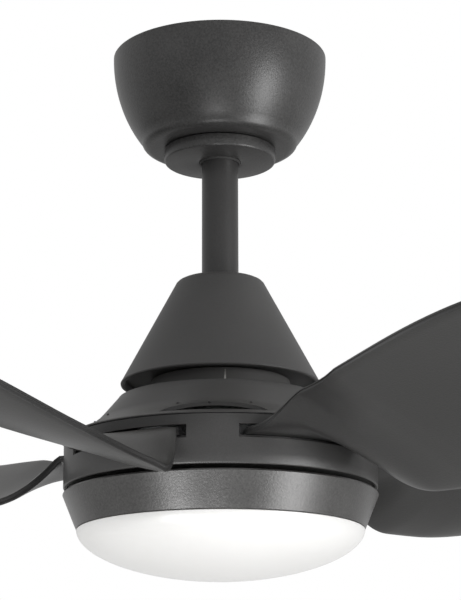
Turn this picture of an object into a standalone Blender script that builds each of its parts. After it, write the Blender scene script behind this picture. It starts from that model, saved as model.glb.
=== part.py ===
"""Ceiling fan with light: five blades on an outer-rotor motor, short downrod, opal LED light.

Metres, +Z up.  z = 0 is the ceiling; the fan hangs below it.  Blade angles are measured from -Y
towards +X.
"""
import math

import bmesh
import bpy
from mathutils import Matrix, Vector

# ---- driving dimensions -------------------------------------------------------------------
CANOPY_RADIUS = 0.0792
CANOPY_DEPTH = 0.0702
ROD_RADIUS = 0.01335
ROD_SHOWN = 0.1007          # canopy bottom to cone top
CONE_HEIGHT = 0.0785
CONE_RADIUS = 0.0716
NECK_RADIUS = 0.050
HOUSING_RADIUS = 0.1112     # ring wall of the rotor
HOUSING_HEIGHT = 0.0313     # tapered cover
WALL_HEIGHT = 0.0337
RING_HEIGHT = 0.0254
DOME_DEPTH = 0.0340         # diffuser below the ring
FAN_RADIUS = 0.610
BLADE_COUNT = 5
BLADE_ANGLE = math.radians(-38.4)
BLADE_THICKNESS = 0.0045
SLOT_HALF = math.radians(27.0)
SLOT_HEIGHT = 0.0090

# ---- clearances and sheet thicknesses -------------------------------------------------------
FIT = 0.0003                # between parts that touch
BALL_GAP = 0.0008           # lets the faceted ball rock in its seat
CEILING_GAP = 0.0010
COVER_GAP = 0.0013          # lets the rod rock without the cover touching the canopy
NECK_GAP = 0.0103
LIGHT_GAP = 0.0031
RUN = 0.0008                # between turning and fixed parts
SHEET = 0.0015
SHELL = 0.0022

# ---- turned detail --------------------------------------------------------------------------
FINE = 40                   # segments of shown round pieces
PLAIN = 24                  # segments of inner round pieces
SMALL = 10                  # segments of screws and pins
HOLE = 12                   # segments of drilled holes
HOLE_START = 0.11           # keeps hole corners off the seams of round pieces
CREASE = math.radians(32)

# ---- levels, ceiling downwards --------------------------------------------------------------
Z_CANOPY = -CEILING_GAP
Z_CANOPY_LOW = Z_CANOPY - CANOPY_DEPTH
BALL_RADIUS = ROD_RADIUS + 0.0130
Z_BALL = -0.0330
COVER_RADIUS = CANOPY_RADIUS * 0.517
COVER_HEIGHT = 0.0089
Z_COVER = Z_CANOPY_LOW - COVER_GAP
Z_CONE = Z_CANOPY_LOW - ROD_SHOWN
Z_CONE_LOW = Z_CONE - CONE_HEIGHT
Z_HOUSING = Z_CONE_LOW - NECK_GAP
Z_WALL = Z_HOUSING - HOUSING_HEIGHT
Z_WALL_LOW = Z_WALL - WALL_HEIGHT
Z_SLOT = Z_WALL - 0.35 * WALL_HEIGHT
Z_RING = Z_WALL_LOW - LIGHT_GAP
Z_RING_LOW = Z_RING - RING_HEIGHT

# ---- motor ----------------------------------------------------------------------------------
SHAFT_RADIUS = 0.0085
SHAFT_BORE = 0.0055
CASE_RADIUS = min(0.0595, HOUSING_RADIUS * 0.54)
CASE_WALL = 0.0032
MAGNET_DEPTH = 0.0042
AIR_GAP = 0.0006
RACE_RADIUS = 0.0174
RACE_HEIGHT = 0.0080
Z_CASE = Z_HOUSING - 0.0045
Z_DECK = Z_SLOT - BLADE_THICKNESS / 2 - FIT
DECK = 0.0030
Z_LID = Z_WALL_LOW + 0.0075


# ---- helpers --------------------------------------------------------------------------------
def material(name, color, metallic, roughness):
    mat = bpy.data.materials.get(name) or bpy.data.materials.new(name)
    mat.use_nodes = True
    mat.diffuse_color = (*color, 1.0)
    shader = mat.node_tree.nodes["Principled BSDF"]
    shader.inputs["Base Color"].default_value = (*color, 1.0)
    shader.inputs["Metallic"].default_value = metallic
    shader.inputs["Roughness"].default_value = roughness
    return mat


def black_paint():
    return material("black_paint", (0.030, 0.030, 0.031), 0.0, 0.42)


def black_plastic():
    return material("black_plastic", (0.034, 0.034, 0.035), 0.0, 0.50)


def blade_plastic():
    return material("blade_plastic", (0.028, 0.028, 0.029), 0.0, 0.45)


def zinc_steel():
    return material("zinc_steel", (0.62, 0.62, 0.60), 1.0, 0.38)


def cast_alloy():
    return material("cast_alloy", (0.55, 0.56, 0.57), 1.0, 0.50)


def bright_steel():
    return material("bright_steel", (0.70, 0.70, 0.70), 1.0, 0.25)


def lamination():
    return material("lamination", (0.22, 0.22, 0.23), 1.0, 0.55)


def copper():
    return material("copper", (0.72, 0.33, 0.15), 1.0, 0.35)


def ferrite():
    return material("ferrite", (0.09, 0.09, 0.09), 0.2, 0.60)


def rubber():
    return material("rubber", (0.02, 0.02, 0.02), 0.0, 0.80)


def white_plastic():
    return material("white_plastic", (0.80, 0.80, 0.77), 0.0, 0.45)


def board_white():
    return material("board_white", (0.86, 0.86, 0.84), 0.0, 0.40)


def opal():
    return material("opal", (0.93, 0.93, 0.91), 0.0, 0.35)


def finish(bm, name, mat):
    """Close a bmesh into one shaded object."""
    bmesh.ops.remove_doubles(bm, verts=bm.verts, dist=1e-6)
    bmesh.ops.recalc_face_normals(bm, faces=bm.faces)
    mesh = bpy.data.meshes.new(name)
    bm.to_mesh(mesh)
    bm.free()
    return place(mesh, name, mat)


def place(mesh, name, mat):
    mesh.materials.clear()
    if mat:
        mesh.materials.append(mat)
    mesh.shade_smooth()
    mesh.set_sharp_from_angle(angle=CREASE)
    obj = bpy.data.objects.new(name, mesh)
    bpy.context.scene.collection.objects.link(obj)
    return obj


def turned(name, profile, mat, segments=PLAIN, centre=(0.0, 0.0), start=0.0):
    """Turn a closed (radius, z) profile about the vertical through centre."""
    bm = bmesh.new()
    rings = []
    for radius, z in profile:
        if radius < 1e-7:
            rings.append([bm.verts.new((centre[0], centre[1], z))])
            continue
        ring = []
        for k in range(segments):
            a = start + 2 * math.pi * k / segments
            ring.append(bm.verts.new((centre[0] + radius * math.cos(a), centre[1] + radius * math.sin(a), z)))
        rings.append(ring)
    for one, two in zip(rings, rings[1:] + rings[:1]):
        for k in range(segments):
            quad = [one[k % len(one)], one[(k + 1) % len(one)], two[(k + 1) % len(two)], two[k % len(two)]]
            corners = list(dict.fromkeys(quad))
            if len(corners) > 2:
                bm.faces.new(corners)
    return finish(bm, name, mat)


def tube(name, outer, inner, z_high, z_low, mat, segments=PLAIN, centre=(0.0, 0.0), start=0.0):
    if inner:
        profile = [(outer, z_high), (outer, z_low), (inner, z_low), (inner, z_high)]
    else:
        profile = [(0.0, z_high), (outer, z_high), (outer, z_low), (0.0, z_low)]
    return turned(name, profile, mat, segments, centre, start)


def box(name, low, high, mat, bevel=0.0):
    bm = bmesh.new()
    bmesh.ops.create_cube(bm, size=1.0)
    size = Vector(high) - Vector(low)
    middle = (Vector(high) + Vector(low)) / 2
    bmesh.ops.transform(bm, matrix=Matrix.Translation(middle) @ Matrix.Diagonal((*size, 1.0)), verts=bm.verts)
    if bevel:
        bmesh.ops.bevel(bm, geom=bm.edges[:], offset=bevel, segments=2, profile=0.5, affect="EDGES")
    return finish(bm, name, mat)


def sector(name, corners, start, end, steps, mat=None):
    """Sweep a closed (radius, z) outline between two angles, counted from -Y towards +X."""
    bm = bmesh.new()
    rows = []
    for k in range(steps + 1):
        a = start + (end - start) * k / steps
        x, y = math.sin(a), -math.cos(a)
        rows.append([bm.verts.new((r * x, r * y, z)) for r, z in corners])
    for one, two in zip(rows, rows[1:]):
        for k in range(len(corners)):
            n = (k + 1) % len(corners)
            bm.faces.new((one[k], one[n], two[n], two[k]))
    bm.faces.new(rows[0])
    bm.faces.new(rows[-1][::-1])
    return finish(bm, name, mat)


def band(inner, outer, z_high, z_low):
    return [(inner, z_high), (outer, z_high), (outer, z_low), (inner, z_low)]


def turn(obj, matrix):
    obj.data.transform(matrix)
    return obj


def lay(obj, direction, point):
    """Move an upright piece built at the origin so that +Z points along direction from point."""
    spin = Vector((0, 0, 1)).rotation_difference(Vector(direction)).to_matrix().to_4x4()
    return turn(obj, Matrix.Translation(Vector(point)) @ spin)


def combine(obj, tools, operation):
    """Cut or join with other solids; the tools are used up."""
    for tool in tools:
        step = obj.modifiers.new("step", "BOOLEAN")
        step.operation = operation
        step.solver = "EXACT"
        step.object = tool
    bpy.context.view_layer.update()
    graph = bpy.context.evaluated_depsgraph_get()
    mesh = bpy.data.meshes.new_from_object(obj.evaluated_get(graph))
    name = obj.name
    mat = obj.data.materials[0] if obj.data.materials else None
    for used in [*tools, obj]:
        bpy.data.objects.remove(used)
    bm = bmesh.new()
    bm.from_mesh(mesh)
    bmesh.ops.remove_doubles(bm, verts=bm.verts, dist=2e-6)
    bm.to_mesh(mesh)
    bm.free()
    for face in mesh.polygons:
        face.material_index = 0
    return place(mesh, name, mat)


def cut(obj, *tools):
    return combine(obj, tools, "DIFFERENCE")


def join(obj, *tools):
    return combine(obj, tools, "UNION")


def hole(radius, z_high, z_low, centre=(0.0, 0.0)):
    return tube("hole", radius, 0.0, z_high, z_low, None, HOLE, centre, HOLE_START)


def screw(name, head_radius, head_height, shank_radius, length, mat, point, direction=(0, 0, 1)):
    """Pan-head screw; point is under the head, +Z of the piece is the head."""
    crown = head_radius * 0.70
    profile = [(0.0, head_height), (crown, head_height), (head_radius, head_height * 0.45), (head_radius, 0.0),
               (shank_radius, 0.0), (shank_radius, -length), (0.0, -length)]
    obj = turned(name, profile, mat, SMALL)
    return lay(obj, direction, point)


def polar(radius, angle):
    return radius * math.sin(angle), -radius * math.cos(angle)


def smooth(value):
    value = min(max(value, 0.0), 1.0)
    return value * value * (3 - 2 * value)


def ease(value):
    value = min(max(value, 0.0), 1.0)
    return 1 - (1 - value) ** 2


# ---- ceiling bracket ------------------------------------------------------------------------
BRACKET_LENGTH = min(0.124, CANOPY_RADIUS * 1.57)
BRACKET_WIDTH = 0.040
BRACKET_SHEET = 0.0025
LEG_X = BALL_RADIUS + 0.0085
Z_CRADLE = Z_BALL - BALL_RADIUS * 0.62
CRADLE_HEIGHT = 0.0125
SCREW_X = min(COVER_RADIUS - 0.0062, LEG_X + 0.002)
CANOPY_SCREW_RADIUS = 0.0019


def ceiling_bracket():
    mat = zinc_steel()
    half = BRACKET_WIDTH / 2
    plate = box("ceiling_bracket", (-BRACKET_LENGTH / 2, -half, -BRACKET_SHEET),
                (BRACKET_LENGTH / 2, half, 0.0), mat)
    parts = []
    for side in (-1, 1):
        near, far = sorted((side * LEG_X, side * (LEG_X + BRACKET_SHEET)))
        parts.append(box("leg", (near, -half * 0.7, Z_CANOPY_LOW + SHEET + FIT),
                         (far, half * 0.7, -BRACKET_SHEET / 2), mat))
        near, far = sorted((side * (SCREW_X - 0.005), side * (LEG_X + BRACKET_SHEET / 2)))
        foot = Z_CANOPY_LOW + SHEET + FIT
        parts.append(box("foot", (near, -half * 0.5, foot), (far, half * 0.5, foot + BRACKET_SHEET), mat))
    z_low = Z_CRADLE - CRADLE_HEIGHT / 2
    parts.append(box("shelf", (-LEG_X - BRACKET_SHEET / 2, -half * 0.95, z_low),
                     (LEG_X + BRACKET_SHEET / 2, half * 0.95, z_low + CRADLE_HEIGHT), mat))
    body = join(plate, *parts)
    seat = ball_solid("seat", BALL_RADIUS + BALL_GAP, Z_BALL - BALL_RADIUS * 1.2)
    tools = [seat, hole(ROD_RADIUS + 0.004, -BRACKET_SHEET - 0.004, Z_CANOPY_LOW, (0, 0))]
    for side in (-1, 1):
        slot_x = side * (BRACKET_LENGTH / 2 - 0.014)
        tools.append(box("slot", (slot_x - 0.008, -0.0030, -0.01), (slot_x + 0.008, 0.0030, 0.01), None))
        tools.append(hole(CANOPY_SCREW_RADIUS + FIT, Z_CANOPY_LOW + 0.02, Z_CANOPY_LOW - 0.01,
                          (side * SCREW_X, 0)))
    return cut(body, *tools)


def ball_solid(name, radius, z_low, z_high=None, mat=None, bore=0.0):
    """Ball about the hanging point, cut flat at z_low and, if given, at z_high."""
    top = Z_BALL + radius * 0.30 if z_high is None else z_high
    start = math.asin(min(1.0, (top - Z_BALL) / radius))
    low = max(z_low, Z_BALL - radius * 0.999)
    end = math.asin((low - Z_BALL) / radius)
    arc = []
    for k in range(7):
        a = start + (end - start) * k / 6
        arc.append((radius * math.cos(a), Z_BALL + radius * math.sin(a)))
    if bore:
        profile = [(bore, arc[0][1]), *arc, (bore, arc[-1][1])]
    else:
        profile = [(0.0, arc[0][1]), *arc, (0.0, arc[-1][1])]
    return turned(name, profile, mat, PLAIN)


# ---- canopy and its fixings -----------------------------------------------------------------
CANOPY_CURVE = CANOPY_DEPTH * 1.346
CANOPY_HOLE = min(ROD_RADIUS + 0.0030, COVER_RADIUS - 0.012)


def canopy_radius(depth):
    return CANOPY_RADIUS * math.sqrt(1 - (depth / CANOPY_CURVE) ** 2)


def canopy():
    corner = 0.0022
    steps = 7
    outer, inner = [], []
    for k in range(steps + 1):
        depth = (CANOPY_DEPTH - corner) * k / steps
        outer.append((canopy_radius(depth), Z_CANOPY - depth))
        inner.append((canopy_radius(depth) - SHEET, Z_CANOPY - depth))
    edge = outer[-1][0]
    low = [(edge - 0.0016, Z_CANOPY_LOW + 0.0006), (edge - 0.0034, Z_CANOPY_LOW), (CANOPY_HOLE, Z_CANOPY_LOW),
           (CANOPY_HOLE, Z_CANOPY_LOW + SHEET), (edge - 0.0045, Z_CANOPY_LOW + SHEET)]
    body = turned("canopy", [*outer, *low, *inner[::-1]], black_paint(), FINE)
    holes = [hole(CANOPY_SCREW_RADIUS + FIT, Z_CANOPY_LOW + 0.01, Z_CANOPY_LOW - 0.01, (side * SCREW_X, 0))
             for side in (-1, 1)]
    return cut(body, *holes)


def canopy_screws():
    for index, side in enumerate((-1, 1)):
        point = (side * SCREW_X, 0.0, Z_CANOPY_LOW - FIT)
        screw(f"canopy_screw_{index + 1}", 0.0032, 0.0010, CANOPY_SCREW_RADIUS, 0.0075, zinc_steel(), point,
              (0, 0, -1))


BESIDE = max(BRACKET_WIDTH / 2, BALL_RADIUS) + 0.0030


def receiver_box():
    half = CANOPY_RADIUS * 0.52
    body = box("receiver_box", (-half, BESIDE, -0.0290), (half, BESIDE + 0.0240, -0.0040), white_plastic(),
               0.0020)
    ear = box("ear", (-0.010, 0.010, -0.0050), (0.010, BESIDE + 0.004, -BRACKET_SHEET - FIT), white_plastic())
    return join(body, ear)


def terminal_block():
    low = (-0.021, -BESIDE - 0.016, -0.0200)
    body = box("terminal_block", low, (0.021, -BESIDE, -0.0040), white_plastic(), 0.0012)
    ear = box("ear", (-0.008, -BESIDE - 0.004, -0.0060), (0.008, -0.010, -BRACKET_SHEET - FIT), white_plastic())
    wells = [hole(0.0018, 0.0, -0.012, (x, -BESIDE - 0.011)) for x in (-0.0150, -0.0050, 0.0050, 0.0150)]
    return cut(join(body, ear), *wells)


# ---- hanger ball, rod, yoke -----------------------------------------------------------------
ROD_WALL = 0.0024
ROD_TOP = Z_BALL + 0.0120
YOKE_RADIUS = ROD_RADIUS + 0.0075
Z_YOKE = Z_CONE - 0.0130
Z_YOKE_LOW = Z_CONE_LOW + 0.0036
Z_ROD_LOW = Z_YOKE_LOW + 0.0190
Z_SHAFT_TOP = Z_ROD_LOW - 0.0020
PIN_RADIUS = 0.0030
Z_BALL_PIN = Z_BALL + 0.0030
Z_YOKE_PIN = Z_YOKE - 0.0110
Z_YOKE_SCREW = Z_YOKE - 0.0230
SET_RADIUS = 0.0025


def cross_hole(radius, z, length, along=(1, 0, 0)):
    tool = tube("hole", radius, 0.0, length / 2, -length / 2, None, HOLE)
    return lay(tool, along, (0, 0, z))


def hanger_ball():
    body = ball_solid("hanger_ball", BALL_RADIUS, Z_BALL - BALL_RADIUS * 0.80, Z_BALL + BALL_RADIUS * 0.28,
                      black_plastic(), ROD_RADIUS + FIT)
    pin = cross_hole(PIN_RADIUS + FIT, Z_BALL_PIN, BALL_RADIUS * 3)
    side = lay(tube("hole", SET_RADIUS + FIT, 0.0, BALL_RADIUS * 1.5, 0.0, None, HOLE), (0, 1, 0),
               (0, 0, Z_BALL_PIN))
    return cut(body, pin, side)


def ball_cross_pin():
    half = BALL_RADIUS * 0.93
    pin = turned("ball_cross_pin", [(0.0, half), (PIN_RADIUS * 0.8, half), (PIN_RADIUS, half - 0.0008),
                                    (PIN_RADIUS, -half + 0.0008), (PIN_RADIUS * 0.8, -half), (0.0, -half)],
                 bright_steel(), SMALL)
    return lay(pin, (1, 0, 0), (0, 0, Z_BALL_PIN))


def set_screw(name, z, inner, length, along):
    """Socket set screw lying on direction along, its cup point at radius inner."""
    body = turned(name, [(0.0, length), (SET_RADIUS * 0.85, length), (SET_RADIUS, length - 0.0005),
                         (SET_RADIUS, 0.0008), (SET_RADIUS * 0.6, 0.0), (0.0, 0.0)], zinc_steel(), SMALL)
    socket = turned("socket",
                    [(0.0, length * 2), (SET_RADIUS * 0.5, length * 2), (SET_RADIUS * 0.5, length * 0.6),
                               (0.0, length * 0.6)], None, 6)
    direction = Vector(along)
    return lay(cut(body, socket), along, direction * inner + Vector((0, 0, z)))


def ball_set_screw():
    return set_screw("ball_set_screw", Z_BALL_PIN, ROD_RADIUS + FIT, BALL_RADIUS - ROD_RADIUS - 0.003,
                     (0, 1, 0))


def downrod():
    body = tube("downrod", ROD_RADIUS, ROD_RADIUS - ROD_WALL, ROD_TOP, Z_ROD_LOW, black_paint(), FINE // 2)
    return cut(body, cross_hole(PIN_RADIUS + FIT, Z_BALL_PIN, ROD_RADIUS * 4),
               cross_hole(PIN_RADIUS + FIT, Z_YOKE_PIN, ROD_RADIUS * 4))


def rod_coupling():
    bore = ROD_RADIUS + FIT
    step = Z_ROD_LOW - FIT
    profile = [(YOKE_RADIUS - 0.001, Z_YOKE), (YOKE_RADIUS, Z_YOKE - 0.001), (YOKE_RADIUS, Z_YOKE_LOW),
               (SHAFT_RADIUS + FIT, Z_YOKE_LOW), (SHAFT_RADIUS + FIT, step), (bore, step), (bore, Z_YOKE)]
    body = turned("rod_coupling", profile, cast_alloy(), PLAIN)
    tools = [cross_hole(PIN_RADIUS + FIT, Z_YOKE_PIN, YOKE_RADIUS * 4),
             cross_hole(SET_RADIUS + FIT, Z_YOKE_SCREW, YOKE_RADIUS * 4, (0, 1, 0))]
    return cut(body, *tools)


def coupling_pin():
    half = YOKE_RADIUS + 0.0025
    head = half + 0.0022
    profile = [(0.0, head), (PIN_RADIUS * 1.5, head), (PIN_RADIUS * 1.7, half + 0.0005),
               (PIN_RADIUS * 1.7, half - 0.0010),
               (PIN_RADIUS, half - 0.0010), (PIN_RADIUS, -half - 0.0050), (PIN_RADIUS * 0.7, -half - 0.0060),
               (0.0, -half - 0.0060)]
    pin = lay(turned("coupling_pin", profile, bright_steel(), SMALL), (1, 0, 0), (0, 0, Z_YOKE_PIN))
    eye = tube("hole", CLIP_WIRE + FIT, 0.0, 0.02, -0.02, None, 12)
    return cut(pin, lay(eye, (0, 1, 0), (-half - 0.0025, 0, Z_YOKE_PIN)))


CLIP_WIRE = 0.0008


def pin_clip():
    """Hairpin of round wire: straight leg through the pin, bow over the outside."""
    x = -(YOKE_RADIUS + 0.0050)
    radius = CLIP_WIRE
    bend = PIN_RADIUS + 0.0022
    path = [(x, -0.0090, 0.0), (x, 0.0090, 0.0)]
    for k in range(1, 8):
        a = math.pi * k / 7
        path.append((x, 0.0090 + bend / 2 * math.sin(a), bend / 2 * (1 - math.cos(a))))
    path.append((x, -0.0050, bend))
    path.append((x, -0.0090, bend + 0.0020))
    bm = bmesh.new()
    rings = []
    count = 8
    for index, point in enumerate(path):
        here = Vector(point)
        before = Vector(path[max(index - 1, 0)])
        after = Vector(path[min(index + 1, len(path) - 1)])
        along = (after - before).normalized()
        side = Vector((1, 0, 0))
        up = along.cross(side).normalized()
        ring = []
        for k in range(count):
            a = 2 * math.pi * k / count
            ring.append(bm.verts.new(here + side * radius * math.cos(a) + up * radius * math.sin(a)))
        rings.append(ring)
    for one, two in zip(rings, rings[1:]):
        for k in range(count):
            bm.faces.new((one[k], one[(k + 1) % count], two[(k + 1) % count], two[k]))
    bm.faces.new(rings[0])
    bm.faces.new(rings[-1][::-1])
    clip = finish(bm, "pin_clip", zinc_steel())
    return turn(clip, Matrix.Translation((0, 0, Z_YOKE_PIN)))


def coupling_set_screws():
    for index, side in enumerate((-1, 1)):
        set_screw(f"coupling_set_screw_{index + 1}", Z_YOKE_SCREW, ROD_RADIUS + FIT,
                  YOKE_RADIUS - ROD_RADIUS - 0.0005,
                  (0, side, 0))


# ---- sliding canopy cover -------------------------------------------------------------------
GROMMET = 0.0009


def canopy_cover():
    z_low = Z_COVER - COVER_HEIGHT
    bore = ROD_RADIUS + GROMMET * 2 + FIT
    profile = [(COVER_RADIUS, Z_COVER), (COVER_RADIUS, z_low + 0.0014), (COVER_RADIUS - 0.0005, z_low + 0.0004),
               (COVER_RADIUS - 0.0016, z_low), (bore, z_low), (bore, z_low + SHEET + 0.0003),
               (COVER_RADIUS - SHEET, z_low + SHEET + 0.0003), (COVER_RADIUS - SHEET, Z_COVER)]
    return turned("canopy_cover", profile, black_paint(), FINE)


def rod_grommet():
    """Rubber bush with a small lip under the cover and a groove round the cover's edge."""
    z_low = Z_COVER - COVER_HEIGHT
    inner = ROD_RADIUS + FIT
    neck = ROD_RADIUS + GROMMET * 2
    wide = neck + 0.0014
    top = z_low + SHEET + 0.0003 + FIT
    profile = [(inner, top + 0.0010), (wide, top + 0.0010), (wide, top), (neck, top), (neck, z_low - FIT),
               (neck + 0.0004, z_low - FIT), (neck, z_low - 0.0012), (inner, z_low - 0.0012)]
    return turned("rod_grommet", profile, rubber(), FINE // 2)


# ---- cone cover and seat plate --------------------------------------------------------------
CONE_TOP_RADIUS = ROD_RADIUS + 0.0193
Z_SEAT = Z_YOKE_LOW - FIT
SEAT = 0.0020


def cone_cover():
    rim = CONE_RADIUS
    top = CONE_TOP_RADIUS
    slope_low = rim - 0.0008
    bore = ROD_RADIUS + 0.0008
    web_high = Z_YOKE_LOW + 0.0022
    web_low = Z_YOKE_LOW + FIT
    web_outer = rim - 0.0060

    def wall(z):
        share = (z - Z_CONE_LOW) / (Z_CONE - Z_CONE_LOW)
        return slope_low + (top - slope_low) * share - SHELL * 1.15

    profile = [(bore, Z_CONE), (top - 0.0075, Z_CONE), (top - 0.0040, Z_CONE - 0.0007),
               (top - 0.0012, Z_CONE - 0.0023),
               (top + 0.0004, Z_CONE - 0.0046), (slope_low, Z_CONE_LOW + 0.0026), (rim, Z_CONE_LOW + 0.0014),
               (rim - 0.0003, Z_CONE_LOW + 0.0004), (rim - 0.0012, Z_CONE_LOW), (rim - 0.0026, Z_CONE_LOW),
               (rim - 0.0032, Z_CONE_LOW + 0.0008), (web_outer + 0.0016, web_low), (YOKE_RADIUS + 0.0040,
                                                                                    web_low),
               (YOKE_RADIUS + 0.0040, web_high), (wall(web_high), web_high), (wall(Z_CONE - 0.006),
                                                                              Z_CONE - 0.006),
               (top - 0.0060, Z_CONE - SHELL), (bore, Z_CONE - SHELL)]
    body = turned("cone_cover", profile, black_plastic(), FINE)
    vents = []
    middle = (YOKE_RADIUS + NECK_RADIUS) / 2
    for k in range(3):
        vents.append(hole(0.0045, web_high + 0.01, web_low - 0.01, polar(middle + 0.004, 2 * math.pi * k / 3)))
    return cut(body, *vents)


def seat_plate():
    skirt_low = Z_HOUSING + RUN
    profile = [(SHAFT_RADIUS + FIT, Z_SEAT), (NECK_RADIUS - 0.0010, Z_SEAT), (NECK_RADIUS, Z_SEAT - 0.0010),
               (NECK_RADIUS, skirt_low), (NECK_RADIUS - SHELL, skirt_low), (NECK_RADIUS - SHELL, Z_SEAT - SEAT),
               (SHAFT_RADIUS + FIT, Z_SEAT - SEAT)]
    return turned("seat_plate", profile, black_paint(), FINE)


# ---- fixed motor parts ----------------------------------------------------------------------
Z_SHAFT_LOW = Z_RING - 0.0125
Z_UPPER_RACE = Z_CASE - 0.0010
Z_LOWER_RACE = Z_LID + 0.0010
TEETH = 12
Z_CORE_HIGH = Z_CASE - 0.0160
Z_CORE_LOW = Z_LID + 0.0160
CORE_RADIUS = CASE_RADIUS - CASE_WALL - MAGNET_DEPTH - AIR_GAP - FIT


def motor_shaft():
    body = tube("motor_shaft", SHAFT_RADIUS, SHAFT_BORE, Z_SHAFT_TOP, Z_SHAFT_LOW, bright_steel(), PLAIN)
    return cut(body, lay(tube("hole", 0.0030, 0.0, 0.02, 0.0, None, HOLE), (0, 1, 0),
                         (0, 0, Z_CORE_HIGH + 0.0060)))


def stator_core():
    """Laminated core: hub ring and twelve teeth with wide tips, one flat outline."""
    pitch = 2 * math.pi / TEETH
    root, neck, tip = pitch * 0.24, pitch * 0.13, pitch * 0.40
    bore, hub, under = SHAFT_RADIUS + FIT, CORE_RADIUS * 0.55, CORE_RADIUS * 0.90
    marks = [(bore, -root), (bore, root), (hub, -root), (hub, root), (under * 0.985, -neck),
             (under * 0.985, neck), (under, -tip), (under, tip), (CORE_RADIUS, -tip), (CORE_RADIUS, 0.0),
             (CORE_RADIUS, tip)]
    patches = [(0, 1, 3, 2), (2, 3, 5, 4), (6, 8, 9, 4), (4, 9, 5), (5, 9, 10, 7)]
    outline = (2, 4, 6, 8, 9, 10, 7, 5, 3)
    bm = bmesh.new()
    teeth = []
    for k in range(TEETH):
        spots = [polar(r, k * pitch + a) for r, a in marks]
        teeth.append([[bm.verts.new((x, y, z)) for x, y in spots] for z in (Z_CORE_HIGH, Z_CORE_LOW)])
    for k in range(TEETH):
        here, there = teeth[k], teeth[(k + 1) % TEETH]
        for side in (0, 1):
            for patch in patches:
                bm.faces.new([here[side][i] for i in patch])
            bm.faces.new((here[side][1], there[side][0], there[side][2], here[side][3]))
        walls = [(here, i, here, j) for i, j in zip(outline, outline[1:])]
        walls += [(here, 3, there, 2), (here, 0, here, 1), (here, 1, there, 0)]
        for one, i, two, j in walls:
            bm.faces.new((one[0][i], two[0][j], two[1][j], one[1][i]))
    return finish(bm, "stator_core", lamination())


def stator_winding(name, z_inner, height, sign):
    """End turns of the coils: a ring with one lobe over every tooth."""
    outer, inner = CORE_RADIUS * 0.86, CORE_RADIUS * 0.58
    count = TEETH * 2
    z_one = z_inner + sign * FIT
    bm = bmesh.new()
    rings = []
    for radius, up in ((inner, 0.0), (outer, 0.0), (outer, 0.75), ((outer + inner) / 2, 1.0), (inner, 0.75)):
        ring = []
        for k in range(count):
            a = 2 * math.pi * k / count
            lobe = 0.72 + 0.28 * math.cos(TEETH * a)
            ring.append(bm.verts.new((*polar(radius, a), z_one + sign * height * up * lobe)))
        rings.append(ring)
    for one, two in zip(rings, rings[1:] + rings[:1]):
        for k in range(count):
            bm.faces.new((one[k], one[(k + 1) % count], two[(k + 1) % count], two[k]))
    return finish(bm, name, copper())


def races(prefix, z_high):
    z_low = z_high - RACE_HEIGHT
    split = SHAFT_RADIUS + 0.0036
    tube(f"{prefix}_inner_race", split, SHAFT_RADIUS + FIT, z_high, z_low, bright_steel(), PLAIN)
    outer = [(RACE_RADIUS - 0.0006, z_high), (RACE_RADIUS, z_high - 0.0006), (RACE_RADIUS, z_low + 0.0006),
             (RACE_RADIUS - 0.0006, z_low), (split + 0.0005, z_low), (split + 0.0005, z_high)]
    turned(f"{prefix}_outer_race", outer, bright_steel(), PLAIN)


# ---- turning motor parts --------------------------------------------------------------------
FLANGE_RADIUS = CASE_RADIUS + 0.0125
Z_FLANGE = Z_DECK - DECK - FIT
FLANGE = 0.0022
HUB_SCREW_RADIUS = CASE_RADIUS + 0.0075


def motor_case():
    boss = RACE_RADIUS + 0.0030
    seat = RACE_RADIUS + FIT
    z_boss = Z_UPPER_RACE - RACE_HEIGHT - 0.0004
    lip = Z_UPPER_RACE + FIT
    z_roof = Z_CASE - 0.0030
    z_bottom = Z_LID + FIT
    profile = [(SHAFT_RADIUS + 0.0024, Z_CASE + 0.0008), (CASE_RADIUS - 0.0020, Z_CASE + 0.0008),
               (CASE_RADIUS, Z_CASE - 0.0012),
               (CASE_RADIUS, Z_FLANGE), (FLANGE_RADIUS, Z_FLANGE), (FLANGE_RADIUS, Z_FLANGE - FLANGE),
               (CASE_RADIUS, Z_FLANGE - FLANGE), (CASE_RADIUS, z_bottom), (CASE_RADIUS - CASE_WALL, z_bottom),
               (CASE_RADIUS - CASE_WALL, z_roof), (boss, z_roof), (boss, z_boss), (seat, z_boss), (seat, lip),
               (SHAFT_RADIUS + 0.0024, lip)]
    body = turned("motor_case", profile, cast_alloy(), FINE)
    holes = [hole(0.0016 + FIT, Z_FLANGE + 0.01, Z_FLANGE - 0.01,
                  polar(HUB_SCREW_RADIUS, hub_angle(k))) for k in range(3)]
    return cut(body, *holes)


def hub_angle(index):
    return 2 * math.pi * index / 3 + math.radians(10)


def hub_screws():
    for k in range(3):
        point = (*polar(HUB_SCREW_RADIUS, hub_angle(k)), Z_FLANGE - FLANGE - FIT)
        screw(f"hub_screw_{k + 1}", 0.0030, 0.0018, 0.0016, FLANGE + DECK, zinc_steel(), point, (0, 0, -1))


def motor_case_lid():
    boss = RACE_RADIUS + 0.0030
    seat = RACE_RADIUS + FIT
    z_race = Z_LOWER_RACE + RACE_HEIGHT
    floor = Z_LID - 0.0028
    profile = [(CASE_RADIUS, Z_LID), (CASE_RADIUS, floor + 0.0006), (CASE_RADIUS - 0.0006, floor),
               (SHAFT_RADIUS + 0.0024, floor),
               (SHAFT_RADIUS + 0.0024, Z_LOWER_RACE - FIT), (seat, Z_LOWER_RACE - FIT), (seat, z_race), (boss,
                                                                                                         z_race),
               (boss, Z_LID)]
    return turned("motor_case_lid", profile, cast_alloy(), PLAIN)


def magnet_ring():
    outer = CASE_RADIUS - CASE_WALL - FIT
    return tube("magnet_ring", outer, outer - MAGNET_DEPTH, Z_CORE_HIGH + 0.0020, Z_CORE_LOW - 0.0020,
                ferrite(), FINE)


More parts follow.
